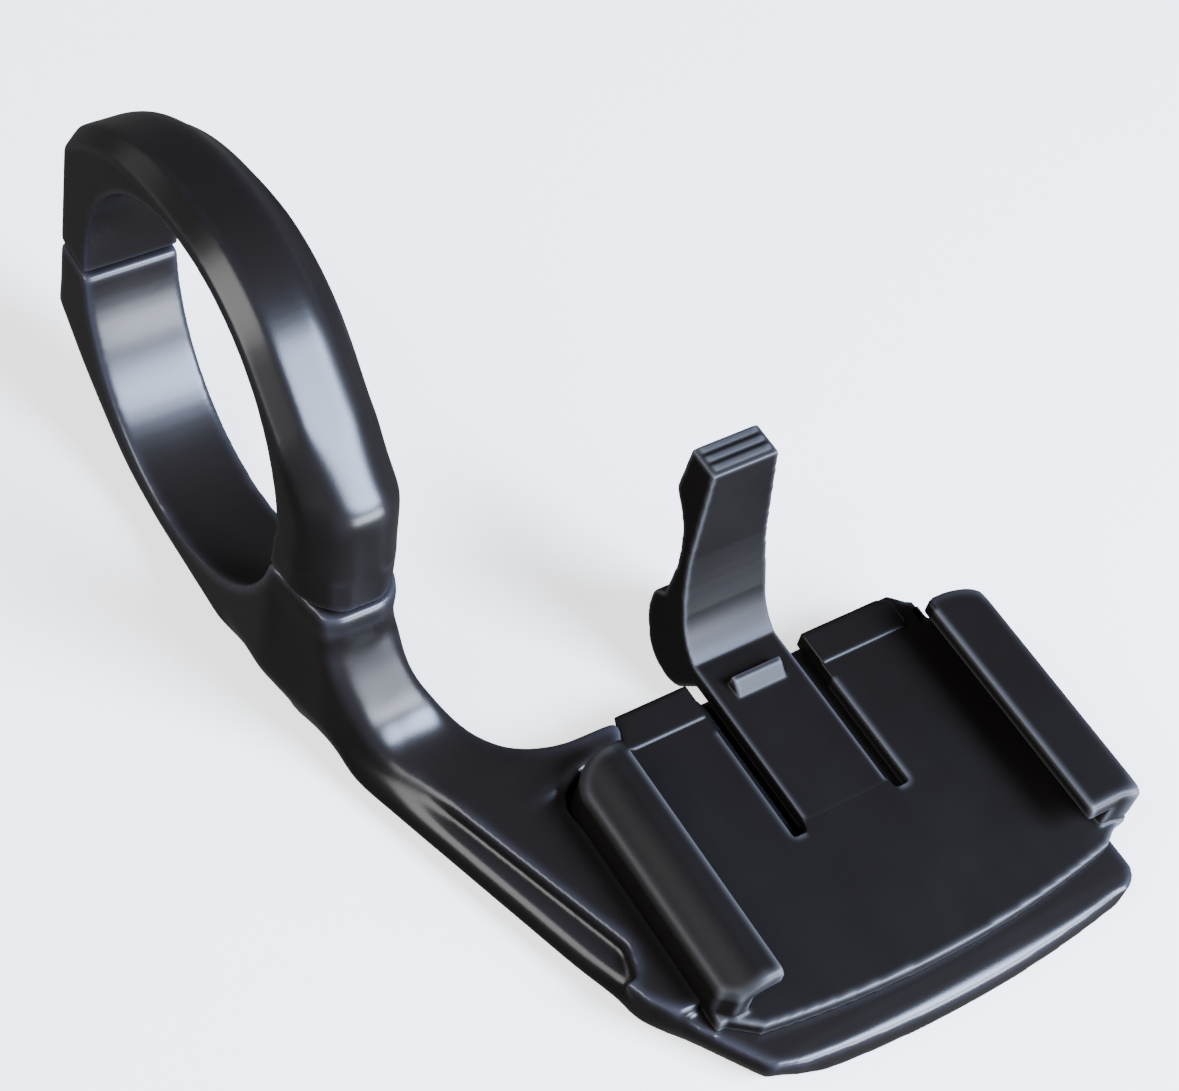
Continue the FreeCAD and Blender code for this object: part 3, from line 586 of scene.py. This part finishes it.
@dataclass(frozen=True)
class SoftShell:
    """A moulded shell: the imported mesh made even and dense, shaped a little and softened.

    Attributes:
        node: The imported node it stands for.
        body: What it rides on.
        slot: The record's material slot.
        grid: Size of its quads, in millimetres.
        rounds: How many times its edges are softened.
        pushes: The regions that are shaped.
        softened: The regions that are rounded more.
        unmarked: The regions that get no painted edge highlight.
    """

    node: str
    body: Body
    slot: Slot
    grid: float
    rounds: int
    pushes: tuple[Push, ...] = ()
    softened: tuple[Soften, ...] = ()
    unmarked: tuple[tuple[Ramp, ...], ...] = ()

    def build(self, source: bpy.types.Object, finish: bpy.types.Material,
              box: tuple[Vector, Vector]) -> bpy.types.Object:
        """Makes the shell and puts it in the node's place.

        Args:
            source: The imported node's object.
            finish: The material.
            box: Lowest and highest corner that the shell stays within.

        Returns:
            The new piece.
        """
        mesh = self.even_copy(source)
        points = np.empty(len(mesh.vertices) * 3)
        mesh.vertices.foreach_get("co", points)
        points = points.reshape(-1, 3) / MM
        for push in self.pushes:
            points = push.apply(points)
        links = np.empty(len(mesh.edges) * 2, dtype=np.int64)
        mesh.edges.foreach_get("vertices", links)
        links = links.reshape(-1, 2)
        for _ in range(self.rounds):
            points = points + SOFTENING * (neighbour_mean(points, links) - points)
        for region in self.softened:
            points = region.apply(points, links)
        points = np.clip(points, np.asarray(box[0]) / MM, np.asarray(box[1]) / MM)
        mesh.vertices.foreach_set("co", (points * MM).ravel())
        mesh.update()
        self.paint_edge_highlights(mesh, points, links)
        for polygon in mesh.polygons:
            polygon.use_smooth = True
        return place_piece(mesh, self.node, self.body, finish)

    def even_copy(self, source: bpy.types.Object) -> bpy.types.Mesh:
        """Copies the node's mesh, merges it and lays an even net of quads over it."""
        merged = bpy.data.meshes.new(f"{self.node}_merged")
        shape = bmesh.new()
        shape.from_mesh(source.data)
        bmesh.ops.remove_doubles(shape, verts=shape.verts, dist=MERGE_DISTANCE)
        shape.to_mesh(merged)
        shape.free()
        carrier = bpy.data.objects.new(f"{self.node}_carrier", merged)
        bpy.context.scene.collection.objects.link(carrier)
        remesh = carrier.modifiers.new("even_net", "REMESH")
        remesh.mode = "VOXEL"
        remesh.voxel_size = self.grid * MM
        remesh.adaptivity = 0.0
        view = bpy.context.evaluated_depsgraph_get()
        mesh = bpy.data.meshes.new_from_object(carrier.evaluated_get(view))
        bpy.data.objects.remove(carrier)
        bpy.data.meshes.remove(merged)
        mesh.name = f"{self.node}_shell"
        return mesh

    def paint_edge_highlights(self, mesh: bpy.types.Mesh, points: np.ndarray, links: np.ndarray) -> None:
        """Stores how strongly the surface is rounded outwards, for the painted highlight on its
        edges.
        """
        normals = np.empty(len(points) * 3)
        mesh.vertices.foreach_get("normal", normals)
        lift = points - neighbour_mean(points, links)
        bulge = np.einsum("ij,ij->i", lift, normals.reshape(-1, 3)) / self.grid
        # Painted highlight: the more an edge bulges outwards, the lighter it is painted.
        highlight = np.clip((bulge - HIGHLIGHT_START) / HIGHLIGHT_SPAN, 0.0, HIGHLIGHT_LIMIT)
        for _ in range(HIGHLIGHT_ROUNDS):
            around = neighbour_mean(highlight[:, None], links)[:, 0]
            highlight = highlight + SOFTENING * (around - highlight)
        for region in self.unmarked:
            highlight = highlight * (1.0 - weigh_region(region, points))
        layer = mesh.attributes.new(EDGE_HIGHLIGHT_LAYER, "FLOAT", "POINT")
        layer.data.foreach_set("value", highlight.astype(np.float32))


def neighbour_mean(values: np.ndarray, links: np.ndarray) -> np.ndarray:
    """Averages each point's neighbours.

    Args:
        values: One row for each point.
        links: Pairs of points that share an edge.

    Returns:
        The averages, one row for each point.
    """
    count = len(values)
    first = np.concatenate((links[:, 0], links[:, 1]))
    second = np.concatenate((links[:, 1], links[:, 0]))
    number = np.maximum(np.bincount(first, minlength=count), 1)
    sums = [np.bincount(first, weights=values[second, column], minlength=count)
            for column in range(values.shape[1])]
    return np.column_stack(sums) / number[:, None]


CAP_PUSHES = (
    Push("deeper bevel on the far side", Way.RADIAL, -0.5,
         (Ramp(Axis.X, 1.0, 3.6), Ramp(Axis.Z, 5.0, 9.0), Ramp(Axis.RADIUS, 16.5, 17.2))),
    Push("nose rounded to the left", BACK, 1.3,
         (Ramp(Axis.X, -1.0, -4.6), Ramp(Axis.Y, -15.0, -20.5))),
    Push("nose rounded to the right", BACK, 0.9,
         (Ramp(Axis.X, 1.4, 4.6), Ramp(Axis.Y, -15.0, -20.5))),
)

ARM_PUSHES = (
    Push("fuller heel of the ring", Way.RADIAL, 0.8,
         (Ramp(Axis.ANGLE, -85.0, -55.0), Ramp(Axis.ANGLE, -18.0, -42.0),
          Ramp(Axis.RADIUS, 16.6, 18.0))),
    Push("fuller waist", RIGHT, 1.2,
         (Ramp(Axis.Y, -34.0, -28.0), Ramp(Axis.Y, -22.0, -27.0), Ramp(Axis.Z, -9.5, -14.0),
          Ramp(Axis.X, 1.0, 5.0))),
    Push("drawn in under the bead's start", RIGHT, 1.1,
         (Ramp(Axis.X, 0.0, -1.5), Ramp(Axis.Y, -29.0, -24.0), Ramp(Axis.Y, -9.0, -14.0),
          Ramp(Axis.Z, -15.5, -19.2))),
    Push("softer front left corner", (0.55, 0.83, 0.0), 0.75,
         (Ramp(Axis.X, 19.0, 14.0), Ramp(Axis.Y, -54.0, -60.0), Ramp(Axis.Z, -16.8, -19.2))),
    Push("hollow between the bead and the arm", UP, -0.75,
         (Ramp(Axis.BEAD, 1.2, 2.2), Ramp(Axis.BEAD, 4.8, 4.2), Ramp(Axis.Y, -24.0, -27.0),
          Ramp(Axis.Y, -54.5, -52.0), Ramp(Axis.Z, -15.7, -16.3), Ramp(Axis.Z, -19.6, -18.0))),
    Push("ramp leaned back", BACK, 0.6,
         (Ramp(Axis.Z, -15.0, -8.0), Ramp(Axis.Z, -3.9, -6.4), Ramp(Axis.Y, -16.0, -18.5))),
    Push("fuller bead, outwards", (-0.95, -0.31, 0.0), 0.25,
         (Ramp(Axis.BEAD, 1.2, 0.4), Ramp(Axis.Y, -25.0, -28.0), Ramp(Axis.Y, -54.0, -50.0),
          Ramp(Axis.Z, -19.6, -18.4))),
    Push("pocket's wall up to the left rail", RIGHT, 0.45,
         (Ramp(Axis.X, 8.2, 9.4), Ramp(Axis.X, 12.0, 11.4), Ramp(Axis.Y, -38.2, -42.0),
          Ramp(Axis.Y, -60.0, -58.0), Ramp(Axis.Z, -16.6, -15.9))),
    Push("shoulder level with the cradle's back", UP, 1.25,
         (Ramp(Axis.X, 6.5, 14.0), Ramp(Axis.Y, -38.6, -37.2), Ramp(Axis.Z, -15.2, -14.8))),
    Push("shoulder up to the cradle's back", RIGHT, 0.4,
         (Ramp(Axis.X, 13.5, 16.0), Ramp(Axis.Y, -37.9, -37.2), Ramp(Axis.Z, -15.4, -15.0),
          Ramp(Axis.X, 22.0, 19.0))),
    Push("shoulder along the border's slanted end", RIGHT, 1.5,
         (Ramp(Axis.X, 13.5, 16.0), Ramp(Axis.Y, -37.3, -34.3), Ramp(Axis.Z, -15.4, -15.0),
          Ramp(Axis.X, 22.0, 19.0))),
    Push("flatter lip with a higher ridge", UP, 0.6,
         (Ramp(Axis.Y, -63.9, -66.4), Ramp(Axis.Z, -18.6, -16.8))),
)

ARM_SOFTENED = (
    Soften("saddle of the ramp", 50,
           (Ramp(Axis.Y, -17.5, -20.5), Ramp(Axis.Y, -37.0, -31.0), Ramp(Axis.Z, -4.2, -6.5),
            Ramp(Axis.Z, -17.6, -15.8), Ramp(Axis.X, -4.0, -2.2))),
    Soften("neck's right side", 60,
           (Ramp(Axis.X, 1.6, 3.2), Ramp(Axis.Y, -16.5, -19.0), Ramp(Axis.Y, -36.0, -32.0),
            Ramp(Axis.Z, -3.6, -5.4))),
    Soften("bead", 70,
           (Ramp(Axis.BEAD, 4.8, 4.2), Ramp(Axis.Y, -20.0, -24.0), Ramp(Axis.Y, -58.0, -55.0),
            Ramp(Axis.Z, -15.7, -16.5))),
)

CAP_SOFTENED = (
    Soften("lower end of the facet", 70,
           (Ramp(Axis.Y, -14.5, -17.5), Ramp(Axis.Z, 0.7, 1.9), Ramp(Axis.Z, 15.0, 11.0))),
)

CRADLE_PUSHES = (
    Push("rounded crest of the left rail", UP, -1.3,
         (Ramp(Axis.BESIDE, 16.6, 20.8), Ramp(Axis.Z, -12.6, -10.4), Ramp(Axis.X, 31.0, 30.0))),
    Push("wider top of the right rail", RIGHT, 0.8,
         (Ramp(Axis.X, 48.6, 50.6), Ramp(Axis.Z, -15.0, -13.0))),
    Push("undercut of the border's front", BACK, 0.5,
         (Ramp(Axis.BESIDE, 15.4, 15.0), Ramp(Axis.Y, -38.8, -38.2), Ramp(Axis.Y, -36.9, -37.3),
          Ramp(Axis.Z, -14.6, -14.3), Ramp(Axis.Z, -13.5, -13.8))),
    Push("lower border", UP, -0.74,
         (Ramp(Axis.BESIDE, 15.2, 14.6), Ramp(Axis.Y, -38.2, -37.8), Ramp(Axis.Z, -13.9, -13.2))),
    Push("border out to the right rail", RIGHT, 1.2,
         (Ramp(Axis.X, 41.0, 44.6), Ramp(Axis.X, 47.4, 46.9), Ramp(Axis.Y, -38.0, -37.6),
          Ramp(Axis.Z, -14.6, -14.0))),
    Push("border out to the left rail", RIGHT, -0.85,
         (Ramp(Axis.X, 20.5, 18.4), Ramp(Axis.Y, -37.6, -37.2), Ramp(Axis.Z, -14.6, -14.0))),
    Push("fuller front of the right rail", (0.7, -0.7, 0.0), 0.5,
         (Ramp(Axis.X, 49.8, 50.8), Ramp(Axis.Y, -59.0, -60.0))),
    Push("floor's thin edge over the tongue's root", BACK, 1.5,
         (Ramp(Axis.BESIDE, 4.5, 4.2), Ramp(Axis.Y, -52.4, -50.7), Ramp(Axis.Y, -49.1, -49.5),
          Ramp(Axis.Z, -14.5, -14.35))),
)

LEVER_PUSHES = (
    Push("tongue's end under the floor's edge", UP, -0.38, (Ramp(Axis.Y, -49.3, -49.8),)),
)

# Regions that get no painted edge highlight: the tongue's root, the bead, and the border at the
# cradle's back.
ROOT = (Ramp(Axis.BESIDE, 4.9, 4.4), Ramp(Axis.Y, -51.8, -51.0), Ramp(Axis.Y, -48.6, -49.2))
BEAD = (Ramp(Axis.BEAD, 4.8, 4.2), Ramp(Axis.Y, -58.0, -56.0), Ramp(Axis.Z, -15.6, -16.2))
BORDER = (Ramp(Axis.BESIDE, 16.2, 15.6), Ramp(Axis.Y, -39.2, -38.8))

SHELLS = (
    SoftShell("arm", Body.MOUNT, Slot.BODY, 0.26, 7, ARM_PUSHES, ARM_SOFTENED, (BEAD,)),
    SoftShell("clamp_cap", Body.CAP, Slot.BODY, 0.17, 16, CAP_PUSHES, CAP_SOFTENED),
    SoftShell("cradle", Body.MOUNT, Slot.CRADLE, 0.18, 2, CRADLE_PUSHES,
              unmarked=(ROOT, BORDER)),
    SoftShell("latch_lever", Body.LATCH, Slot.CRADLE, 0.13, 3, LEVER_PUSHES,
              unmarked=(ROOT,)),
)


@dataclass(frozen=True)
class Ring:
    """One ring of a turned outline.

    Attributes:
        radius: Distance from the axis, in millimetres.
        height: Height, in millimetres.
    """

    radius: float
    height: float


def turned(shape: bmesh.types.BMesh, centre: tuple[float, float], outline: list[Ring], steps: int,
           closed: bool = False) -> None:
    """Spins an outline once about a vertical axis.

    Args:
        shape: Where the faces go.
        centre: The axis in plan, in millimetres.
        outline: Rings from the first to the last.
        steps: Points in each ring.
        closed: Whether the last ring is joined to the first.
    """
    points = [shape.verts.new(((centre[0] + ring.radius) * MM, centre[1] * MM, ring.height * MM))
              for ring in outline]
    following = points[1:] + points[:1] if closed else points[1:]
    edges = [shape.edges.new(pair) for pair in zip(points, following)]
    bmesh.ops.spin(shape, geom=points + edges, cent=(centre[0] * MM, centre[1] * MM, 0.0),
                   axis=UP, angle=2.0 * math.pi, steps=steps, use_merge=True)
    bmesh.ops.remove_doubles(shape, verts=shape.verts, dist=MERGE_DISTANCE)


def reshape(shape: bmesh.types.BMesh, centre: tuple[float, float],
            reach: Callable[[Ring, float], float]) -> None:
    """Moves the points of a turned shape nearer to its axis or further from it.

    Args:
        shape: The shape.
        centre: The axis in plan, in millimetres.
        reach: Gives a point's new radius from the ring that it is on and its angle.
    """
    for point in shape.verts:
        across, along = point.co.x / MM - centre[0], point.co.y / MM - centre[1]
        angle = math.atan2(along, across)
        radius = reach(Ring(math.hypot(across, along), point.co.z / MM), angle)
        point.co.x = (centre[0] + radius * math.cos(angle)) * MM
        point.co.y = (centre[1] + radius * math.sin(angle)) * MM


@dataclass(frozen=True)
class SocketScrew:
    """A screw from below: head with a hex socket, and a shank with a rolled thread.

    Attributes:
        node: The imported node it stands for.
        body: What it rides on.
        centre: Its axis in plan.
        seat: Height of the face under its head.
        tip: Height of its end.
        shank: Radius of the shank.
        head: Radius of the head.
        head_height: Height of the head.
        key: Half of the socket's width across its flats.
        key_depth: Depth of the socket.
        thread_start: Height where the thread starts.
        pitch: The thread's pitch.
        steps: Points in each ring.
        mouth: Half of the width of the socket's mouth, as a share of `key`.
        face: Radius of the ring on the head's face, as a share of `head`.
    """

    node: str
    body: Body
    centre: tuple[float, float]
    seat: float
    tip: float
    shank: float
    head: float
    head_height: float
    key: float
    key_depth: float
    thread_start: float
    pitch: float
    steps: int = 48
    mouth: float = 1.12
    face: float = 0.72

    def outline(self) -> list[Ring]:
        """The turned outline, from the middle of the socket round the head and up to the tip."""
        low, edge = self.seat - self.head_height, self.head * 0.09
        depth = min(self.pitch * 0.5, self.shank * 0.2)
        rings = [Ring(0.0, low + self.key_depth + self.key * 0.25),
                 Ring(self.key, low + self.key_depth), Ring(self.key, low + 0.12),
                 Ring(self.key * self.mouth, low), Ring(self.head * self.face, low),
                 Ring(self.head - edge * 1.6, low), Ring(self.head - edge * 0.4, low + edge * 0.5),
                 Ring(self.head, low + edge * 1.6), Ring(self.head, self.seat - edge * 0.5),
                 Ring(self.head - edge * 0.4, self.seat), Ring(self.shank + 0.06, self.seat),
                 Ring(self.shank, self.seat + 0.08)]
        height = self.thread_start
        while height < self.tip - self.pitch * 1.5:
            rings += [Ring(self.shank, height), Ring(self.shank, height + self.pitch * 0.2),
                      Ring(self.shank - depth, height + self.pitch * 0.5),
                      Ring(self.shank - depth, height + self.pitch * 0.62)]
            height += self.pitch
        rings += [Ring(self.shank, height), Ring(self.shank, self.tip - self.pitch * 0.6),
                  Ring(self.shank - depth, self.tip)]
        return rings

    def socket_reach(self, ring: Ring, angle: float) -> float:
        """Lays the socket's rings on hexagons, and leaves the others round.

        Args:
            ring: The ring that a point is on.
            angle: The point's angle on it.

        Returns:
            The point's new radius.
        """
        beyond = (self.key * self.mouth + self.head * self.face) / 2.0
        if ring.radius > beyond or ring.height > self.seat - self.head_height / 4.0:
            return ring.radius
        flat = math.pi / 3.0
        return ring.radius / math.cos((angle + flat / 2.0) % flat - flat / 2.0)

    def build(self, finish: bpy.types.Material) -> bpy.types.Object:
        """Makes the screw and puts it in the node's place."""
        shape = bmesh.new()
        turned(shape, self.centre, self.outline(), self.steps)
        bmesh.ops.holes_fill(shape, edges=shape.edges, sides=0)
        reshape(shape, self.centre, self.socket_reach)
        return finish_turned(shape, self.node, self.body, finish)


@dataclass(frozen=True)
class KnurledInsert:
    """A brass sleeve with two knurled bands and a threaded bore.

    Attributes:
        node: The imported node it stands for.
        centre: Its axis in plan.
        low: Height of its lower face.
        height: Its height.
        outer: Its outer radius.
        bore: Radius of its bore.
        pitch: The thread's pitch.
        steps: Points in each ring.
        lobes: Number of knurls around it.
        knurl: Height of a knurl over the mean.
        edge: Width of its chamfers, and depth of its thread.
        groove: Depth of the groove between the bands.
    """

    node: str
    centre: tuple[float, float]
    low: float
    height: float
    outer: float
    bore: float
    pitch: float
    steps: int = 96
    lobes: int = 24
    knurl: float = 0.035
    edge: float = 0.12
    groove: float = 0.18

    def outline(self) -> list[Ring]:
        """The turned outline: lower face, two bands with a groove, upper face and thread."""
        low, top = self.low, self.low + self.height
        crest, groove = self.outer - self.knurl, self.outer - self.groove
        mouth = self.bore + self.edge
        rings = [Ring(mouth, low), Ring(crest - self.edge, low), Ring(crest, low + self.edge),
                 Ring(crest, low + self.height * 0.38), Ring(groove, low + self.height * 0.42),
                 Ring(groove, low + self.height * 0.56), Ring(crest, low + self.height * 0.6),
                 Ring(crest, top - self.edge), Ring(crest - self.edge, top), Ring(mouth, top)]
        height = top - self.edge
        while height > low + self.pitch:
            rings += [Ring(mouth, height), Ring(self.bore, height - self.pitch * 0.4)]
            height -= self.pitch
        return [*rings, Ring(self.bore, low + self.edge)]

    def knurled_reach(self, ring: Ring, angle: float) -> float:
        """Knurls the outer rings, and leaves those of the thread round.

        Args:
            ring: The ring that a point is on.
            angle: The point's angle on it.

        Returns:
            The point's new radius.
        """
        if ring.radius < (self.bore + self.outer) / 2.0:
            return ring.radius
        return ring.radius + self.knurl * math.cos(angle * self.lobes)

    def build(self, finish: bpy.types.Material) -> bpy.types.Object:
        """Makes the insert and puts it in the node's place."""
        shape = bmesh.new()
        turned(shape, self.centre, self.outline(), self.steps, closed=True)
        reshape(shape, self.centre, self.knurled_reach)
        return finish_turned(shape, self.node, Body.CAP, finish)


def finish_turned(shape: bmesh.types.BMesh, node: str, body: Body,
                  finish: bpy.types.Material) -> bpy.types.Object:
    """Turns a bmesh into a finished piece with smooth faces and sharp corners.

    Args:
        shape: The faces; freed here.
        node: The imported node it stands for.
        body: What it rides on.
        finish: The material.

    Returns:
        The new piece.
    """
    bmesh.ops.recalc_face_normals(shape, faces=shape.faces)
    for edge in shape.edges:
        edge.smooth = len(edge.link_faces) < 2 or edge.calc_face_angle() < SHARP_ANGLE
    for face in shape.faces:
        face.smooth = True
    mesh = bpy.data.meshes.new(f"{node}_turned")
    shape.to_mesh(mesh)
    shape.free()
    return place_piece(mesh, node, body, finish)


def place_piece(mesh: bpy.types.Mesh, node: str, body: Body,
                finish: bpy.types.Material) -> bpy.types.Object:
    """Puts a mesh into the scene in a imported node's place.

    Args:
        mesh: The mesh; the piece takes its name.
        node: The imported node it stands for.
        body: What it rides on.
        finish: The material.

    Returns:
        The new piece.
    """
    mesh.materials.clear()
    mesh.materials.append(finish)
    piece = bpy.data.objects.new(mesh.name, mesh)
    bpy.context.scene.collection.objects.link(piece)
    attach(piece, body.value)
    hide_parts(node)
    return piece


FRONT_AXIS = (0.0, -19.2)
REAR_AXIS = (0.0, 18.4)
CRADLE_SCREW_CENTRES = ((15.1, -42.5), (15.1, -56.0), (47.1, -42.5), (47.1, -56.0))

SCREWS = (
    SocketScrew("front_clamp_screw", Body.FRONT_SCREW, FRONT_AXIS, seat=-8.5, tip=1.65, shank=1.5,
                head=2.75, head_height=3.0, key=1.25, key_depth=1.6, thread_start=-3.4, pitch=0.5),
    SocketScrew("rear_clamp_screw", Body.REAR_SCREW, REAR_AXIS, seat=-7.2, tip=1.65, shank=1.0,
                head=1.75, head_height=2.0, key=0.85, key_depth=1.1, thread_start=-3.2, pitch=0.4),
    *(SocketScrew(f"cradle_screw_{number}", Body.MOUNT, centre, seat=-17.6, tip=-14.5, shank=0.9,
                  head=1.8, head_height=1.2, key=0.6, key_depth=0.6, thread_start=-16.9, pitch=0.35)
      for number, centre in enumerate(CRADLE_SCREW_CENTRES, 1)),
)

INSERTS = (
    KnurledInsert("front_threaded_insert", FRONT_AXIS, low=-2.35, height=4.0, outer=2.05, bore=1.55,
                  pitch=0.5),
    KnurledInsert("rear_threaded_insert", REAR_AXIS, low=-2.35, height=4.0, outer=1.55, bore=1.05,
                  pitch=0.4),
)


@dataclass(frozen=True)
class PhotoCamera:
    """The photograph's viewpoint, fitted to the ring's rims and the cradle's edges.

    Attributes:
        place: Where the camera stands.
        azimuth: Turn about the vertical axis, in degrees.
        elevation: How far it looks down, in degrees.
        roll: Turn about its own line of sight, in degrees.
        lens: Focal length in millimetres.
        sensor: Width of the sensor in millimetres.
        clips: Nearest and furthest distance that it sees.
    """

    place: Vector = Vector((-0.0699, -0.1108, 0.1548))
    azimuth: float = -46.08
    elevation: float = 51.82
    roll: float = -16.92
    lens: float = 77.9
    sensor: float = 36.0
    clips: tuple[float, float] = (0.01, 10.0)

    def build(self) -> bpy.types.Object:
        """Makes the camera and gives it to the scene."""
        angles = (self.azimuth, self.elevation, self.roll)
        turn, rise, lean = (math.radians(value) for value in angles)
        back = Vector((math.sin(turn) * math.cos(rise), -math.cos(turn) * math.cos(rise),
                       math.sin(rise)))
        level = (-back).cross(Vector(UP)).normalized()
        fall = (-back).cross(level)
        right = math.cos(lean) * level + math.sin(lean) * fall
        down = math.cos(lean) * fall - math.sin(lean) * level
        lens = bpy.data.cameras.new("photo_camera")
        lens.lens = self.lens
        lens.sensor_width = self.sensor
        lens.sensor_fit = "HORIZONTAL"
        lens.clip_start, lens.clip_end = self.clips
        camera = bpy.data.objects.new("photo_camera", lens)
        facing = Matrix((right, -down, back)).transposed().to_4x4()
        camera.matrix_world = Matrix.Translation(self.place) @ facing
        bpy.context.scene.collection.objects.link(camera)
        bpy.context.scene.camera = camera
        return camera


@dataclass(frozen=True)
class SoftBox:
    """One rectangular studio light.

    Attributes:
        name: What it lights.
        place: Where it stands.
        aim: The point that it faces.
        wide: Its width.
        tall: Its height.
        watts: Its power.
        tint: Its colour.
    """

    name: str
    place: tuple[float, float, float]
    aim: tuple[float, float, float]
    wide: float
    tall: float
    watts: float
    tint: tuple[float, float, float]

    def build(self) -> bpy.types.Object:
        """Makes the light and turns it to its aim."""
        lamp = bpy.data.lights.new(self.name, "AREA")
        lamp.shape = "RECTANGLE"
        lamp.size = self.wide
        lamp.size_y = self.tall
        lamp.energy = self.watts
        lamp.color = self.tint
        light = bpy.data.objects.new(self.name, lamp)
        facing = Vector(self.place) - Vector(self.aim)
        light.matrix_world = (Matrix.Translation(Vector(self.place))
                              @ facing.to_track_quat("Z", "Y").to_matrix().to_4x4())
        bpy.context.scene.collection.objects.link(light)
        return light


BLUE = (0.60, 0.72, 1.0)
COOL = (0.78, 0.85, 1.0)
NEUTRAL = (1.0, 1.0, 1.0)
MIDDLE = (0.02, -0.02, -0.005)

SOFT_BOXES = (
    SoftBox("facet_box", (0.276, -0.385, 0.385), (0.0, -0.016, 0.011), 0.28, 0.30, 66.0, BLUE),
    SoftBox("low_front_box", (0.156, -0.330, 0.041), (0.0, 0.0, -0.005), 0.20, 0.125, 10.0, COOL),
    SoftBox("left_strip", (-0.55, 0.03, 0.50), MIDDLE, 0.55, 0.5, 26.0, NEUTRAL),
    SoftBox("back_fill", (-0.30, 0.55, 0.17), MIDDLE, 0.40, 0.24, 0.6, NEUTRAL),
)


@dataclass
class Studio:
    """Pale floor, dim surroundings and soft boxes.

    Attributes:
        floor_height: Height of the floor.
        reach: Half of the floor's side.
        floor_grey: Base grey of the floor.
        floor_glow: Strength of the white that the floor gives off.
        world_colour: Colour of the surroundings, linear RGB.
        world_strength: Their strength.
    """

    floor_height: float
    reach: float = 4.0
    floor_grey: float = 0.22
    floor_glow: float = 1.6
    world_colour: tuple[float, float, float] = (0.93, 0.96, 1.0)
    world_strength: float = 0.2

    def build(self) -> None:
        """Makes the floor, the surroundings and the lights."""
        self.lay_floor()
        self.fill_world()
        for box in SOFT_BOXES:
            box.build()

    def lay_floor(self) -> bpy.types.Object:
        """Makes the plain floor; gloss doesn't mirror it, because the photograph is cut out."""
        mesh = bpy.data.meshes.new("floor")
        shape = bmesh.new()
        bmesh.ops.create_grid(shape, x_segments=1, y_segments=1, size=self.reach)
        bmesh.ops.translate(shape, verts=shape.verts, vec=(0, 0, self.floor_height))
        shape.to_mesh(mesh)
        shape.free()
        mesh.materials.append(self.floor_finish())
        floor = bpy.data.objects.new("floor", mesh)
        bpy.context.scene.collection.objects.link(floor)
        floor.visible_glossy = False
        floor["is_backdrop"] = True
        return floor

    def floor_finish(self) -> bpy.types.Material:
        """Matt white with a very slight unevenness."""
        material, graph, shader = start_material("pale_floor")
        where = graph.add("TexCoord").outputs["Object"]
        cloud = graph.noise(where, 3.0, 2.0, 0.5)
        graph.feed(shader.inputs["Roughness"], graph.remap(cloud, 0.3, 0.7, 0.86, 0.94))
        graph.feed(shader.inputs["Base Color"], (*(self.floor_grey,) * 3, 1.0))
        graph.feed(shader.inputs["Specular IOR Level"], 0.1)
        graph.feed(shader.inputs["Emission Color"], (1.0, 1.0, 1.0, 1.0))
        graph.feed(shader.inputs["Emission Strength"], self.floor_glow)
        return material

    def fill_world(self) -> None:
        """Sets even, faintly blue surroundings."""
        world = bpy.data.worlds.new("studio")
        world.use_nodes = True
        ground = world.node_tree.nodes["Background"]
        ground.inputs["Color"].default_value = (*self.world_colour, 1.0)
        ground.inputs["Strength"].default_value = self.world_strength
        bpy.context.scene.world = world


def main() -> None:
    """Builds the object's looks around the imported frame, and then the studio."""
    logging.basicConfig(level=logging.INFO, format="%(name)s: %(message)s")
    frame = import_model()
    packed_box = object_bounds()
    PhotoCamera().build()
    finishes = build_finishes()
    for shell in SHELLS:
        piece = shell.build(frame["nodes"][shell.node], finishes[shell.slot], packed_box)
        log.info("%s has %d faces", piece.name, len(piece.data.polygons))
    for screw in SCREWS:
        screw.build(finishes[Slot.SCREW])
    for insert in INSERTS:
        insert.build(finishes[Slot.INSERT])
    Studio(floor_height=packed_box[0][2]).build()


if __name__ == "__main__":
    main()
